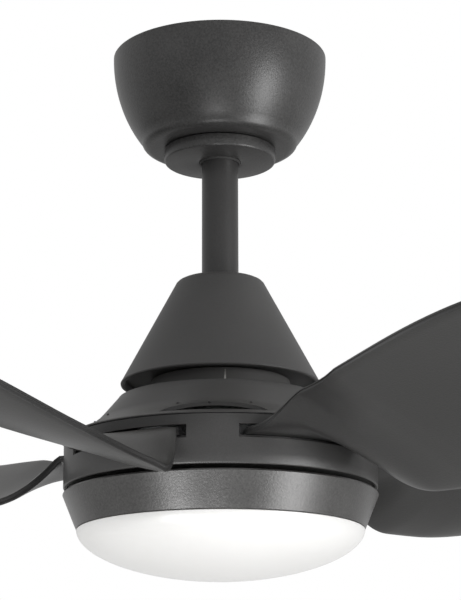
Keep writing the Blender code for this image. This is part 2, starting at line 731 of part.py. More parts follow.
# ---- rotor hub, covers ----------------------------------------------------------------------
COVER_TOP_RADIUS = HOUSING_RADIUS * 0.661
HUB_INNER = CASE_RADIUS + FIT
WALL = 0.0024
BLADE_SCREW_RADIUS = HOUSING_RADIUS - 0.0165
BLADE_SCREW_SPREAD = math.radians(13)
TONGUE_RADIUS = HOUSING_RADIUS - 0.0250


def blade_angle(index):
    return BLADE_ANGLE + 2 * math.pi * index / BLADE_COUNT


def rotor_hub():
    """Ring wall with blade slots, joined to a flat deck that carries the blade tongues."""
    wall_in = HOUSING_RADIUS - WALL
    top = Z_WALL - FIT
    profile = [(HOUSING_RADIUS, top), (HOUSING_RADIUS, Z_WALL_LOW + 0.0010),
               (HOUSING_RADIUS - 0.0008, Z_WALL_LOW), (wall_in, Z_WALL_LOW), (wall_in, Z_DECK - DECK),
               (HUB_INNER, Z_DECK - DECK), (HUB_INNER, Z_DECK), (wall_in, Z_DECK), (wall_in, top)]
    body = turned("rotor_hub", profile, black_plastic(), FINE)
    z_ledge = Z_DECK + FIT / 2
    z_low = Z_SLOT - SLOT_HEIGHT / 2
    past = HOUSING_RADIUS + 0.01
    slot = [(wall_in - 0.001, Z_SLOT + SLOT_HEIGHT / 2), (past, Z_SLOT + SLOT_HEIGHT / 2), (past, z_low),
            (wall_in + 0.0002, z_low), (wall_in + 0.0002, z_ledge), (wall_in - 0.001, z_ledge)]
    tools = []
    for k in range(BLADE_COUNT):
        a = blade_angle(k)
        tools.append(sector("slot", slot, a - SLOT_HALF, a + SLOT_HALF, 5))
        for side in (-1, 1):
            tools.append(hole(0.0016 + FIT, Z_DECK + 0.01, Z_DECK - 0.01,
                              polar(BLADE_SCREW_RADIUS, a + side * BLADE_SCREW_SPREAD)))
    for k in range(3):
        tools.append(hole(0.0016 + FIT, Z_DECK + 0.01, Z_DECK - 0.01, polar(HUB_SCREW_RADIUS, hub_angle(k))))
    return cut(body, *tools)


VENT_HALF = math.radians(20)
VENT_INNER = HOUSING_RADIUS * 0.825
VENT_OUTER = HOUSING_RADIUS * 0.955


def housing_cover():
    """Tapered cover that flares into a thin lip, with a long vent between every two blades."""
    top = COVER_TOP_RADIUS
    lip = HOUSING_RADIUS + 0.0004
    knee = HOUSING_RADIUS * 0.783
    thick = SHELL
    drop = HOUSING_HEIGHT
    outer = [(top - 0.0010, 0.0), (top, 0.0009), (knee, drop * 0.543),
             (knee + (lip - knee) * 0.16, drop * 0.640),
             (knee + (lip - knee) * 0.36, drop * 0.735), (knee + (lip - knee) * 0.60, drop * 0.830),
             (knee + (lip - knee) * 0.84, drop * 0.915), (lip, drop * 0.978)]
    profile = [(r, Z_HOUSING - d) for r, d in outer]
    profile += [(lip, Z_WALL), (lip - thick * 0.8, Z_WALL)]
    for r, d in (outer[-2], outer[-5], outer[2]):
        profile.append((r - thick * 0.75, Z_HOUSING - d - thick * 0.85))
    hole_radius = SHAFT_RADIUS + 0.0080
    profile += [(top - thick * 1.2, Z_HOUSING - thick), (hole_radius, Z_HOUSING - thick),
                (hole_radius, Z_HOUSING)]
    body = turned("housing_cover", profile, black_plastic(), FINE)
    vents = []
    for k in range(BLADE_COUNT):
        a = blade_angle(k) + math.pi / BLADE_COUNT
        vents.append(vent_cutter(a))
    return cut(body, *vents)


def vent_cutter(angle):
    """Lens-shaped vent: follows the lip outside, runs nearly straight inside."""
    steps = 6
    bm = bmesh.new()
    rows = []
    for k in range(steps + 1):
        share = 2 * k / steps - 1
        a = angle + VENT_HALF * share
        bow = math.cos(share * math.pi / 2) ** 0.35
        inner = VENT_OUTER - 0.0012 - (VENT_OUTER - VENT_INNER) * bow
        high, low = Z_HOUSING, Z_WALL - 0.01
        rows.append([bm.verts.new((*polar(r, a), z)) for r, z in band(inner, VENT_OUTER, high, low)])
    for one, two in zip(rows, rows[1:]):
        for k in range(4):
            bm.faces.new((one[k], one[(k + 1) % 4], two[(k + 1) % 4], two[k]))
    bm.faces.new(rows[0])
    bm.faces.new(rows[-1][::-1])
    return finish(bm, "vent", None)


def bottom_cover():
    """Flat annular cover inside the wall, with a short rim that stiffens it."""
    outer = HOUSING_RADIUS - WALL - FIT
    inner = CASE_RADIUS - 0.012
    z_high = Z_WALL_LOW + 0.0030
    profile = [(outer, z_high + 0.0030), (outer, Z_WALL_LOW + 0.0012), (inner, Z_WALL_LOW + 0.0012),
               (inner, z_high),
               (outer - 0.0020, z_high), (outer - 0.0020, z_high + 0.0030)]
    return turned("bottom_cover", profile, black_plastic(), PLAIN)


# ---- blades ---------------------------------------------------------------------------------
ROOT_HALF_WIDTH = HOUSING_RADIUS * math.sin(math.radians(24.3))
LEAD_WIDEN = 0.0375
TRAIL_WIDEN = 0.0490
LEAD_TAPER = 0.0190
LEAD_TUCK = 0.0050
TRAIL_TAPER = 0.0280
TRAIL_DROP = 0.0345
TRAIL_RISE = 0.0330
LEAD_RISE = 0.0160
TIP_RISE = 0.0160
TIP_ROUND = 0.045
FOLD_POWER = 2.6            # beside the housing only the trailing edge folds down
SCOOP_POWER = 1.35          # further out the whole width is a shallow scoop
FOLD_START = 0.004
FOLD_REACH = 0.030


def blade_station(radius):
    """Leading and trailing offsets from the blade's centre line, and the two edge levels."""
    out = radius - HOUSING_RADIUS
    reach = FAN_RADIUS - HOUSING_RADIUS
    lead = ROOT_HALF_WIDTH + LEAD_WIDEN * smooth((out - 0.010) / 0.26) - LEAD_TAPER * smooth(out / reach * 2 - 1)
    lead -= LEAD_TUCK * math.sin(math.pi * min(max(out / 0.11, 0.0), 1.0))
    trail = ROOT_HALF_WIDTH + TRAIL_WIDEN * ease((out - 0.002) / 0.15) - TRAIL_TAPER * smooth(out / reach * 2 - 1)
    high = LEAD_RISE * smooth((out - 0.005) / 0.052) + TIP_RISE * max(0.0, out / reach - 0.18)
    low = -TRAIL_DROP * ease((out - 0.003) / 0.055) + TRAIL_RISE * smooth((out - 0.085) / 0.21)
    return lead, trail, high, low


def blade_point(radius, share):
    """Middle surface of the blade; share runs from the leading edge (0) to the trailing edge (1)."""
    lead, trail, high, low = blade_station(max(radius, HOUSING_RADIUS))
    out = radius - HOUSING_RADIUS
    if out < 0:
        low = high = 0.0
    left = FAN_RADIUS - radius
    if left < TIP_ROUND:
        narrow = math.sqrt(max(0.0, 1 - ((TIP_ROUND - left) / TIP_ROUND) ** 2)) * 0.62 + 0.38
        lead *= narrow
        trail *= narrow
    wide = min(radius, HOUSING_RADIUS) / HOUSING_RADIUS
    start = -math.asin(lead * wide / radius)
    end = math.asin(trail * wide / radius)
    fold = 1 - share ** FOLD_POWER
    scoop = (1 - share) ** SCOOP_POWER
    level = low + (high - low) * (fold + (scoop - fold) * smooth((out - FOLD_START) / FOLD_REACH))
    angle = start + (end - start) * share
    return Vector((radius * math.sin(angle), -radius * math.cos(angle), Z_SLOT + level))


def blade_radii():
    out = [TONGUE_RADIUS, HOUSING_RADIUS - 0.0035, HOUSING_RADIUS + 0.0015]
    out += [HOUSING_RADIUS + step for step in (0.008, 0.018, 0.030, 0.044, 0.062, 0.090, 0.130)]
    start = out[-1]
    for k in range(1, 5):
        out.append(start + (FAN_RADIUS - TIP_ROUND - start) * k / 4)
    for share in (0.45, 0.80, 0.95, 1.0):
        out.append(FAN_RADIUS - TIP_ROUND * (1 - share))
    return out


def blade_mesh():
    """Closed sheet of even thickness, one mesh shared by all blades, centre line towards -Y."""
    columns = 7
    radii = blade_radii()
    step = 1e-4
    bm = bmesh.new()
    upper, lower = [], []
    for radius in radii:
        top_row, low_row = [], []
        for k in range(columns + 1):
            share = k / columns
            here = blade_point(radius, share)
            flat = radius < HOUSING_RADIUS + 0.004
            ahead = blade_point(min(radius + step, FAN_RADIUS),
                                share) - blade_point(min(radius, FAN_RADIUS - step), share)
            across = blade_point(radius, min(share + 0.01, 1.0)) - blade_point(radius, max(share - 0.01, 0.0))
            normal = Vector((0, 0, 1)) if flat else across.cross(ahead).normalized()
            if normal.z < 0:
                normal = -normal
            top_row.append(bm.verts.new(here + normal * BLADE_THICKNESS / 2))
            low_row.append(bm.verts.new(here - normal * BLADE_THICKNESS / 2))
        upper.append(top_row)
        lower.append(low_row)
    for i in range(len(radii) - 1):
        for k in range(columns):
            bm.faces.new((upper[i][k], upper[i][k + 1], upper[i + 1][k + 1], upper[i + 1][k]))
            bm.faces.new((lower[i][k], lower[i + 1][k], lower[i + 1][k + 1], lower[i][k + 1]))
        for k in (0, columns):
            bm.faces.new((upper[i][k], upper[i + 1][k], lower[i + 1][k], lower[i][k]))
    for i in (0, len(radii) - 1):
        for k in range(columns):
            bm.faces.new((upper[i][k], upper[i][k + 1], lower[i][k + 1], lower[i][k]))
    obj = finish(bm, "blade", blade_plastic())
    tools = [hole(0.0016 + FIT, Z_SLOT + 0.01, Z_SLOT - 0.01,
                  polar(BLADE_SCREW_RADIUS, side * BLADE_SCREW_SPREAD))
             for side in (-1, 1)]
    return cut(obj, *tools)


def blades():
    master = blade_mesh()
    for k in range(BLADE_COUNT):
        copy = bpy.data.objects.new(f"blade_{k + 1}", master.data.copy())
        copy.data.transform(Matrix.Rotation(blade_angle(k), 4, "Z"))
        bpy.context.scene.collection.objects.link(copy)
    bpy.data.objects.remove(master)


def blade_screws():
    index = 0
    for k in range(BLADE_COUNT):
        for side in (-1, 1):
            index += 1
            spot = polar(BLADE_SCREW_RADIUS, blade_angle(k) + side * BLADE_SCREW_SPREAD)
            point = (*spot, Z_SLOT + BLADE_THICKNESS / 2 + FIT)
            screw(f"blade_screw_{index}", 0.0034, 0.0020, 0.0016, BLADE_THICKNESS + DECK, zinc_steel(), point)


# ---- light ----------------------------------------------------------------------------------
PLATE = 0.0018
RING_TOP = HOUSING_RADIUS + 0.0003
RING_FLANGE = 0.0018
RING_LOW = HOUSING_RADIUS * 0.918
DOME_RADIUS = HOUSING_RADIUS * 0.9135   # shoulder that covers the ring's lower face
LIP_RADIUS = HOUSING_RADIUS * 0.889
RING_SCREW_RADIUS = HOUSING_RADIUS * 0.865
Z_PLATE = Z_RING - RING_FLANGE - FIT
Z_LIP = Z_RING_LOW + 0.0024
LUG_HALF = math.radians(6.5)
LUG_TURN = math.radians(25)
Z_BOARD = Z_RING_LOW + 0.0088
BOARD_RADIUS = LIP_RADIUS - 0.0110


def light_ring():
    groove = LIP_RADIUS + 0.0024
    profile = [(RING_TOP - 0.0018, Z_RING), (RING_TOP, Z_RING - 0.0014), (RING_LOW, Z_RING_LOW + 0.0008),
               (RING_LOW - 0.0007, Z_RING_LOW), (LIP_RADIUS, Z_RING_LOW), (LIP_RADIUS, Z_LIP), (groove, Z_LIP),
               (groove, Z_LIP + 0.0055), (RING_TOP - 0.0042, Z_RING - RING_FLANGE), (RING_SCREW_RADIUS - 0.0050,
                                                                                     Z_RING - RING_FLANGE),
               (RING_SCREW_RADIUS - 0.0050, Z_RING)]
    body = turned("light_ring", profile, black_paint(), FINE)
    tools = []
    for k in range(3):
        a = 2 * math.pi * k / 3 + LUG_TURN
        notch = band(LIP_RADIUS - 0.002, groove - 0.0002, Z_LIP + 0.001, Z_RING_LOW - 0.01)
        tools.append(sector("notch", notch, a - LUG_HALF * 1.4, a + LUG_HALF * 1.4, 3))
        tools.append(hole(0.0016 + FIT, Z_RING + 0.01, Z_RING - 0.01,
                          polar(RING_SCREW_RADIUS, ring_screw_angle(k))))
    return cut(body, *tools)


def ring_screw_angle(index):
    return 2 * math.pi * index / 3 + math.radians(60)


def light_plate():
    outer = RING_TOP - 0.0060
    body = tube("light_plate", outer, SHAFT_RADIUS + FIT, Z_PLATE, Z_PLATE - PLATE, zinc_steel(), PLAIN)
    posts = [tube("post", 0.0035, 0.0, Z_PLATE - PLATE / 2, Z_BOARD + FIT, zinc_steel(), 12,
                  polar(BOARD_RADIUS - 0.012, 2 * math.pi * k / 3))
             for k in range(3)]
    holes = [hole(0.0016 + FIT, Z_PLATE + 0.01, Z_PLATE - 0.01,
                  polar(RING_SCREW_RADIUS, ring_screw_angle(k))) for k in range(3)]
    return cut(join(body, *posts), *holes)


def ring_screws():
    for k in range(3):
        point = (*polar(RING_SCREW_RADIUS, ring_screw_angle(k)), Z_PLATE - PLATE - FIT)
        screw(f"ring_screw_{k + 1}", 0.0032, 0.0018, 0.0016, PLATE + RING_FLANGE, zinc_steel(), point,
              (0, 0, -1))


def shaft_nut():
    z_high = Z_PLATE - PLATE - FIT
    body = tube("shaft_nut", 0.0135, 0.0, z_high, z_high - 0.0045, zinc_steel(), 6)
    bore = tube("hole", SHAFT_RADIUS + FIT, 0.0, z_high + 0.01, z_high - 0.02, None, PLAIN)
    return cut(body, bore)


def led_driver():
    z_high = Z_PLATE - PLATE - FIT
    z_low = Z_BOARD + 0.0010
    reach = HOUSING_RADIUS * 0.62
    return box("led_driver", (-reach * 0.42, HOUSING_RADIUS * 0.20, z_low), (reach * 0.42, reach, z_high),
               white_plastic(), 0.0012)


def led_board():
    """Round board with a ring of raised diodes."""
    body = tube("led_board", BOARD_RADIUS, 0.0040, Z_BOARD, Z_BOARD - 0.0016, board_white(), FINE)
    chips = []
    for k in range(6):
        x, y = polar(BOARD_RADIUS * 0.72, 2 * math.pi * k / 6)
        chips.append(box("chip", (x - 0.0018, y - 0.0018, Z_BOARD - 0.0026),
                         (x + 0.0018, y + 0.0018, Z_BOARD - 0.0008), board_white()))
    return join(body, *chips)


def diffuser():
    """Opal dome with an upright rim and three bayonet lugs."""
    rim = LIP_RADIUS - 0.0006
    wall = 0.0020
    z_edge = Z_RING_LOW - 0.0003
    z_rim = Z_LIP + 0.0050
    power = 1.9
    outer = [(rim, z_rim), (rim, z_edge), (DOME_RADIUS, z_edge)]
    inner = []
    shares = [0.97, 0.91, 0.80, 0.64, 0.44, 0.22, 0.0]
    for share in shares:
        depth = DOME_DEPTH * (1 - share ** power) ** (1 / power)
        outer.append((DOME_RADIUS * share, z_edge - depth))
        inner.append(((DOME_RADIUS - wall) * share, z_edge - (DOME_DEPTH - wall) * (1 - share ** power) ** (1 / power)))
    profile = [*outer, *inner[::-1], (rim - wall, z_edge), (rim - wall, z_rim)]
    body = turned("diffuser", profile, opal(), FINE)
    lugs = []
    for k in range(3):
        a = 2 * math.pi * k / 3
        lug = band(rim - wall / 2, LIP_RADIUS + 0.0018, Z_LIP + FIT + 0.0024, Z_LIP + FIT)
        lugs.append(sector("lug", lug, a - LUG_HALF, a + LUG_HALF, 3, opal()))
    return join(body, *lugs)


def build():
    for old in list(bpy.data.objects):
        bpy.data.objects.remove(old)
    ceiling_bracket()
    canopy()
    canopy_screws()
    receiver_box()
    terminal_block()
    hanger_ball()
    ball_cross_pin()
    ball_set_screw()
    downrod()
    rod_coupling()
    coupling_pin()
    pin_clip()
    coupling_set_screws()
    canopy_cover()
    rod_grommet()
    cone_cover()
    seat_plate()
    motor_shaft()
    stator_core()
    end_height = 0.0090
    stator_winding("upper_winding", Z_CORE_HIGH, end_height, 1)
    stator_winding("lower_winding", Z_CORE_LOW, end_height, -1)
    races("upper", Z_UPPER_RACE)
    races("lower", Z_LOWER_RACE + RACE_HEIGHT)
    motor_case()
    hub_screws()
    motor_case_lid()
    magnet_ring()
    rotor_hub()
    housing_cover()
    bottom_cover()
    blades()
    blade_screws()
    light_ring()
    light_plate()
    ring_screws()
    shaft_nut()
    led_driver()
    led_board()
    diffuser()


build()
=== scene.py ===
import math

import bpy
from mathutils import Matrix, Vector


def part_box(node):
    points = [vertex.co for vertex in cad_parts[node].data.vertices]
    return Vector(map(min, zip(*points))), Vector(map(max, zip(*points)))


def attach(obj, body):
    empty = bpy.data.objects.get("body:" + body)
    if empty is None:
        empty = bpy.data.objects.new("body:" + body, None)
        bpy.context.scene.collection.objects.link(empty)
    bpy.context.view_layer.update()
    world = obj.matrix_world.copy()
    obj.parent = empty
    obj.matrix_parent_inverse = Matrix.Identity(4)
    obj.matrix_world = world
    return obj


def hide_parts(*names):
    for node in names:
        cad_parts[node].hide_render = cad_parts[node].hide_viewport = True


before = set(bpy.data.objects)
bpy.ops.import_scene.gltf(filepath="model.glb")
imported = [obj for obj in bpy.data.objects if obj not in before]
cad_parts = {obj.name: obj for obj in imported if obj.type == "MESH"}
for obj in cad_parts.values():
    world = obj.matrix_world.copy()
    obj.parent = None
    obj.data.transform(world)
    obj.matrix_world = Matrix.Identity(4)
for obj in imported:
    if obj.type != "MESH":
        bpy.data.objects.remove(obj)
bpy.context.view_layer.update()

# ---- canopy ---------------------------------------------------------------------------------
# The cup that hides the ceiling bracket: drawn steel, painted satin black with a fine powder
# speckle. Two screws in its flat bottom hold it to the bracket.


def pick_nothing():
    if bpy.context.object and bpy.context.object.mode != "OBJECT":
        bpy.ops.object.mode_set(mode="OBJECT")
    bpy.ops.object.select_all(action="DESELECT")


def pick(*pieces):
    pick_nothing()
    for piece in pieces:
        piece.select_set(True)
    bpy.context.view_layer.objects.active = pieces[-1]


def draw_round(name, line, sides=144, end="open"):
    """Draws a round piece ring by ring along a line of (radius, level) points."""
    pick_nothing()
    radius, level = line[0]
    bpy.ops.mesh.primitive_circle_add(vertices=sides, radius=radius, location=(0, 0, level))
    piece = bpy.context.object
    piece.name = name
    piece.data.name = name
    bpy.ops.object.transform_apply(location=True, rotation=True, scale=True)
    bpy.ops.object.mode_set(mode="EDIT")
    bpy.ops.mesh.select_all(action="SELECT")
    steps = line[1:] + line[:1] if end == "loop" else line[1:]
    for next_radius, next_level in steps:
        bpy.ops.mesh.extrude_edges_move(
            TRANSFORM_OT_translate={"value": (0, 0, next_level - level)})
        grow = next_radius / radius
        bpy.ops.transform.resize(value=(grow, grow, 1), center_override=(0, 0, next_level))
        radius, level = next_radius, next_level
    if end == "pole":
        bpy.ops.mesh.merge(type="CENTER")
    bpy.ops.mesh.select_all(action="SELECT")
    bpy.ops.mesh.remove_doubles(threshold=1e-6)
    bpy.ops.mesh.normals_make_consistent(inside=False)
    bpy.ops.object.mode_set(mode="OBJECT")
    return piece


def apply_all(piece):
    pick(piece)
    for modifier in list(piece.modifiers):
        bpy.ops.object.modifier_apply(modifier=modifier.name)


def round_edges(piece, width, angle=40, segments=2):
    """A small even radius on every edge sharper than the angle."""
    bevel = piece.modifiers.new("edge", "BEVEL")
    bevel.width = width
    bevel.segments = segments
    bevel.limit_method = "ANGLE"
    bevel.angle_limit = math.radians(angle)
    apply_all(piece)


def cut_away(piece, *tools):
    """Cuts the tools out of the piece and removes them."""
    for tool in tools:
        cut = piece.modifiers.new("cut", "BOOLEAN")
        cut.operation = "DIFFERENCE"
        cut.solver = "EXACT"
        cut.object = tool
    apply_all(piece)
    for tool in tools:
        bpy.data.objects.remove(tool)


def drill(radius, x, y, high, low):
    pick_nothing()
    bpy.ops.mesh.primitive_cylinder_add(vertices=32, radius=radius, depth=high - low,
                                        location=(x, y, (high + low) / 2))
    return bpy.context.object


def smooth(piece, angle=30):
    pick(piece)
    bpy.ops.object.shade_smooth_by_angle(angle=math.radians(angle))


def speckle_group():
    """Powder speckle, faint handling marks and settled dust, shared by most finishes."""
    group = bpy.data.node_groups.new("fine_speckle", "ShaderNodeTree")
    face = group.interface
    for name, value in (("Grain", 1800.0), ("Blotch", 22.0), ("Contrast", 0.2), ("Gloss spread", 0.06),
                        ("Roughness", 0.4), ("Dust", 0.3)):
        face.new_socket(name, in_out="INPUT", socket_type="NodeSocketFloat").default_value = value
    for name in ("Base", "Light", "Dust color"):
        face.new_socket(name, in_out="INPUT", socket_type="NodeSocketColor")
    face.new_socket("Stretch", in_out="INPUT", socket_type="NodeSocketVector").default_value = (1, 1, 1)
    face.new_socket("Color", in_out="OUTPUT", socket_type="NodeSocketColor")
    face.new_socket("Roughness", in_out="OUTPUT", socket_type="NodeSocketFloat")
    face.new_socket("Height", in_out="OUTPUT", socket_type="NodeSocketFloat")
    nodes, links = group.nodes, group.links
    given = nodes.new("NodeGroupInput")
    out = nodes.new("NodeGroupOutput")
    spot = nodes.new("ShaderNodeTexCoord")
    drawn = nodes.new("ShaderNodeVectorMath")
    drawn.operation = "MULTIPLY"
    links.new(spot.outputs["Object"], drawn.inputs[0])
    links.new(given.outputs["Stretch"], drawn.inputs[1])

    def noise(scale, detail, rough):
        node = nodes.new("ShaderNodeTexNoise")
        node.inputs["Detail"].default_value = detail
        node.inputs["Roughness"].default_value = rough
        links.new(drawn.outputs[0], node.inputs["Vector"])
        links.new(given.outputs[scale], node.inputs["Scale"])
        return node.outputs["Fac"]

    def math_node(operation, one, two):
        node = nodes.new("ShaderNodeMath")
        node.operation = operation
        for socket, value in zip(node.inputs, (one, two)):
            if isinstance(value, (int, float)):
                socket.default_value = value
            else:
                links.new(value, socket)
        return node.outputs[0]

    def mix(factor, one, two):
        node = nodes.new("ShaderNodeMix")
        node.data_type = "RGBA"
        links.new(factor, node.inputs["Factor"])
        links.new(one, node.inputs["A"])
        links.new(two, node.inputs["B"])
        return node.outputs["Result"]

    grain = noise("Grain", 2.0, 0.6)
    blotch = noise("Blotch", 4.0, 0.55)
    both = math_node("ADD", math_node("MULTIPLY", grain, 0.6), math_node("MULTIPLY", blotch, 0.4))
    spread = math_node("MULTIPLY", math_node("SUBTRACT", both, 0.5), given.outputs["Contrast"])
    shade = math_node("ADD", math_node("MULTIPLY", spread, 3.0), 0.4)
    limited = nodes.new("ShaderNodeClamp")
    links.new(shade, limited.inputs["Value"])
    paint = mix(limited.outputs[0], given.outputs["Base"], given.outputs["Light"])
    facing = nodes.new("ShaderNodeSeparateXYZ")
    links.new(spot.outputs["Normal"], facing.inputs[0])
    upward = nodes.new("ShaderNodeMapRange")
    links.new(facing.outputs["Z"], upward.inputs["Value"])
    upward.inputs["From Min"].default_value = 0.45
    upward.inputs["From Max"].default_value = 1.0
    patches = math_node("MULTIPLY", upward.outputs[0], blotch)
    settled = math_node("MULTIPLY", patches, given.outputs["Dust"])
    links.new(mix(settled, paint, given.outputs["Dust color"]), out.inputs["Color"])
    gloss = math_node("MULTIPLY", math_node("SUBTRACT", blotch, 0.5), given.outputs["Gloss spread"])
    dull = math_node("ADD", gloss, math_node("MULTIPLY", settled, 0.4))
    links.new(math_node("ADD", dull, given.outputs["Roughness"]), out.inputs["Roughness"])
    links.new(grain, out.inputs["Height"])
    return group


SPECKLE = speckle_group()


def grained_finish(name, base, light, rough, grain=1800.0, bump=0.04, contrast=0.25, dust=0.25, coat=0.0,
                   coat_rough=0.3, metallic=0.0, stretch=(1, 1, 1)):
    """A painted, moulded or plated finish with its own grain, gloss and dust."""
    finish = bpy.data.materials.new(name)
    finish.use_nodes = True
    nodes, links = finish.node_tree.nodes, finish.node_tree.links
    shader = nodes["Principled BSDF"]
    shader.inputs["Metallic"].default_value = metallic
    shader.inputs["Coat Weight"].default_value = coat
    shader.inputs["Coat Roughness"].default_value = coat_rough
    speckle = nodes.new("ShaderNodeGroup")
    speckle.node_tree = SPECKLE
    speckle.inputs["Grain"].default_value = grain
    speckle.inputs["Contrast"].default_value = contrast
    speckle.inputs["Roughness"].default_value = rough
    speckle.inputs["Dust"].default_value = dust
    speckle.inputs["Base"].default_value = (*base, 1)
    speckle.inputs["Light"].default_value = (*light, 1)
    speckle.inputs["Dust color"].default_value = (0.19, 0.18, 0.16, 1)
    speckle.inputs["Stretch"].default_value = stretch
    relief = nodes.new("ShaderNodeBump")
    relief.inputs["Strength"].default_value = bump
    relief.inputs["Distance"].default_value = 0.0004
    links.new(speckle.outputs["Color"], shader.inputs["Base Color"])
    links.new(speckle.outputs["Roughness"], shader.inputs["Roughness"])
    links.new(speckle.outputs["Height"], relief.inputs["Height"])
    links.new(relief.outputs["Normal"], shader.inputs["Normal"])
    return finish


def wear(piece, finish):
    piece.data.materials.clear()
    piece.data.materials.append(finish)


def stand_for(piece, node, body, finish):
    """The finished piece takes its paint, its place on the body and the CAD node's place."""
    wear(piece, finish)
    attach(piece, body)
    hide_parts(node)


satin_black = grained_finish("satin_black_paint", (0.0165, 0.0161, 0.0159), (0.056, 0.055, 0.0545), 0.40,
                             grain=700.0, bump=0.34, contrast=0.9, coat=0.12, coat_rough=0.38)
low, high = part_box("canopy")
canopy_radius = high.x
canopy_depth = high.z - low.z
curve = canopy_depth * 1.346
corner = 0.0055
sheet = 0.0015
rod_hole_gap = 0.0030
plated_screw_hole = 0.0022
rod_low, rod_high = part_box("downrod")
rod_radius = rod_high.x
line = []
for k in range(19):
    depth = (canopy_depth - corner) * k / 18
    line.append((canopy_radius * math.sqrt(1 - (depth / curve) ** 2), high.z - depth))
edge = line[-1][0]
for k in range(1, 9):
    a = k / 8
    line.append((edge - corner * (a * 0.35 + a * a * 0.95), low.z + corner * (1 - a) ** 1.8))
line.append((rod_radius + rod_hole_gap, low.z))
inside = [(rod_radius + rod_hole_gap, low.z + sheet), (edge - 0.0090, low.z + sheet),
          (edge - 0.0045, low.z + 0.0045)]
inside += [(r - sheet, z) for r, z in line[18::-3]]
canopy = draw_round("canopy_cup", line + inside, end="loop")
screw_low, screw_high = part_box("canopy_screw_2")
screw_x = (screw_low.x + screw_high.x) / 2
cut_away(canopy, *[drill(plated_screw_hole, side * screw_x, 0, low.z + 0.01, low.z - 0.01)
                   for side in (-1, 1)])
smooth(canopy)
stand_for(canopy, "canopy", "mount", satin_black)

# ---- ceiling bracket and wiring box -----------------------------------------------------------
# A folded strap of zinc-plated steel screwed to the ceiling; two plated screws hold the canopy to
# it. The receiver of the remote control and a white terminal block sit beside it.


def dress(finish, *names):
    """Gives pieces that come with the frame their finish."""
    for name in names:
        wear(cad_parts[name], finish)


zinc_plate = grained_finish("zinc_plated_steel", (0.46, 0.455, 0.44), (0.68, 0.675, 0.66), 0.36,
                            grain=260.0, bump=0.06, contrast=0.6, dust=0.12, metallic=1.0)
white_moulding = grained_finish("white_moulding", (0.68, 0.67, 0.64), (0.80, 0.79, 0.76), 0.46,
                                grain=1500.0, bump=0.06, contrast=0.3, dust=0.2)
dress(zinc_plate, "ceiling_bracket", "canopy_screw_1", "canopy_screw_2")
dress(white_moulding, "receiver_box", "terminal_block")

# ---- hanger ball --------------------------------------------------------------------------------
# A black nylon ball that rests in the bracket's seat; a ground pin through the rod and a grub
# screw hold it on the rod.
nylon = grained_finish("black_nylon", (0.024, 0.0236, 0.0233), (0.050, 0.049, 0.0485), 0.38, grain=900.0,
                       bump=0.08)
ground_steel = grained_finish("ground_steel", (0.52, 0.52, 0.51), (0.72, 0.715, 0.70), 0.24, grain=420.0,
                              bump=0.05, contrast=0.5, dust=0.05, metallic=1.0, stretch=(1, 1, 9))
dress(nylon, "hanger_ball")
dress(ground_steel, "ball_cross_pin")
dress(zinc_plate, "ball_set_screw")

# ---- canopy cover and rod bush --------------------------------------------------------------
# A pressed disc that rides on the rod just under the canopy and hides its screws,
# painted like the canopy. A rubber bush in its hole grips the rod.
low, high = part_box("canopy_cover")
radius = high.x
bore = rod_radius + 0.0021
lip = 0.0016
floor_sheet = 0.0018
line = [(radius, high.z), (radius, low.z + lip)]
for turn in (22, 45, 67, 90):
    a = math.radians(turn)
    line.append((radius - lip * (1 - math.cos(a)), low.z + lip * (1 - math.sin(a))))
line += [(bore + 0.0030, low.z), (bore, low.z), (bore, low.z + floor_sheet),
         (radius - sheet, low.z + floor_sheet),
         (radius - sheet, high.z)]
disc = draw_round("canopy_cover_disc", line, end="loop")
round_edges(disc, 0.0002)
smooth(disc)
stand_for(disc, "canopy_cover", "cover", satin_black)

rubber = grained_finish("black_rubber", (0.014, 0.0137, 0.0134), (0.028, 0.0275, 0.027), 0.72, grain=900.0,
                        bump=0.12, dust=0.35)
low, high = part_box("rod_grommet")
inner = rod_radius + 0.0003
neck = rod_radius + 0.0018
line = [(inner, high.z), (high.x, high.z), (high.x, high.z - 0.0010), (neck, high.z - 0.0010),
        (neck, low.z + 0.0012), (neck - 0.0003, low.z + 0.0009), (inner + 0.0008, low.z + 0.0005),
        (inner + 0.0006, low.z), (inner, low.z)]
bush = draw_round("rod_bush", line, end="loop", sides=96)
round_edges(bush, 0.00012)
smooth(bush)
stand_for(bush, "rod_grommet", "cover", rubber)

# ---- downrod --------------------------------------------------------------------------------
# Steel pipe, painted satin black, cross-drilled at both ends for the pins that hold the hanger
# ball above and the coupling below.
rod_paint = grained_finish("rod_black_paint", (0.0165, 0.0161, 0.0159), (0.042, 0.041, 0.0405), 0.40,
                           grain=1300.0, bump=0.20, contrast=0.5, coat=0.05)
wall = 0.0024
line = [(rod_radius, rod_high.z - 0.0006), (rod_radius, rod_low.z + 0.0006),
        (rod_radius - 0.0006, rod_low.z), (rod_radius - wall, rod_low.z),
        (rod_radius - wall, rod_high.z), (rod_radius - 0.0006, rod_high.z)]
rod = draw_round("downrod_pipe", line, end="loop", sides=96)


def cross_drill(radius, level):
    tool = drill(radius, 0, 0, 0.04, -0.04)
    pick(tool)
    bpy.ops.transform.rotate(value=math.radians(90), orient_axis="Y", center_override=(0, 0, 0))
    bpy.ops.transform.translate(value=(0, 0, level))
    return tool


pin_hole = 0.0033
holes = []
for pin in ("ball_cross_pin", "coupling_pin"):
    low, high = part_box(pin)
    holes.append(cross_drill(pin_hole, (low.z + high.z) / 2))
cut_away(rod, *holes)
smooth(rod)
stand_for(rod, "downrod", "hanging", rod_paint)

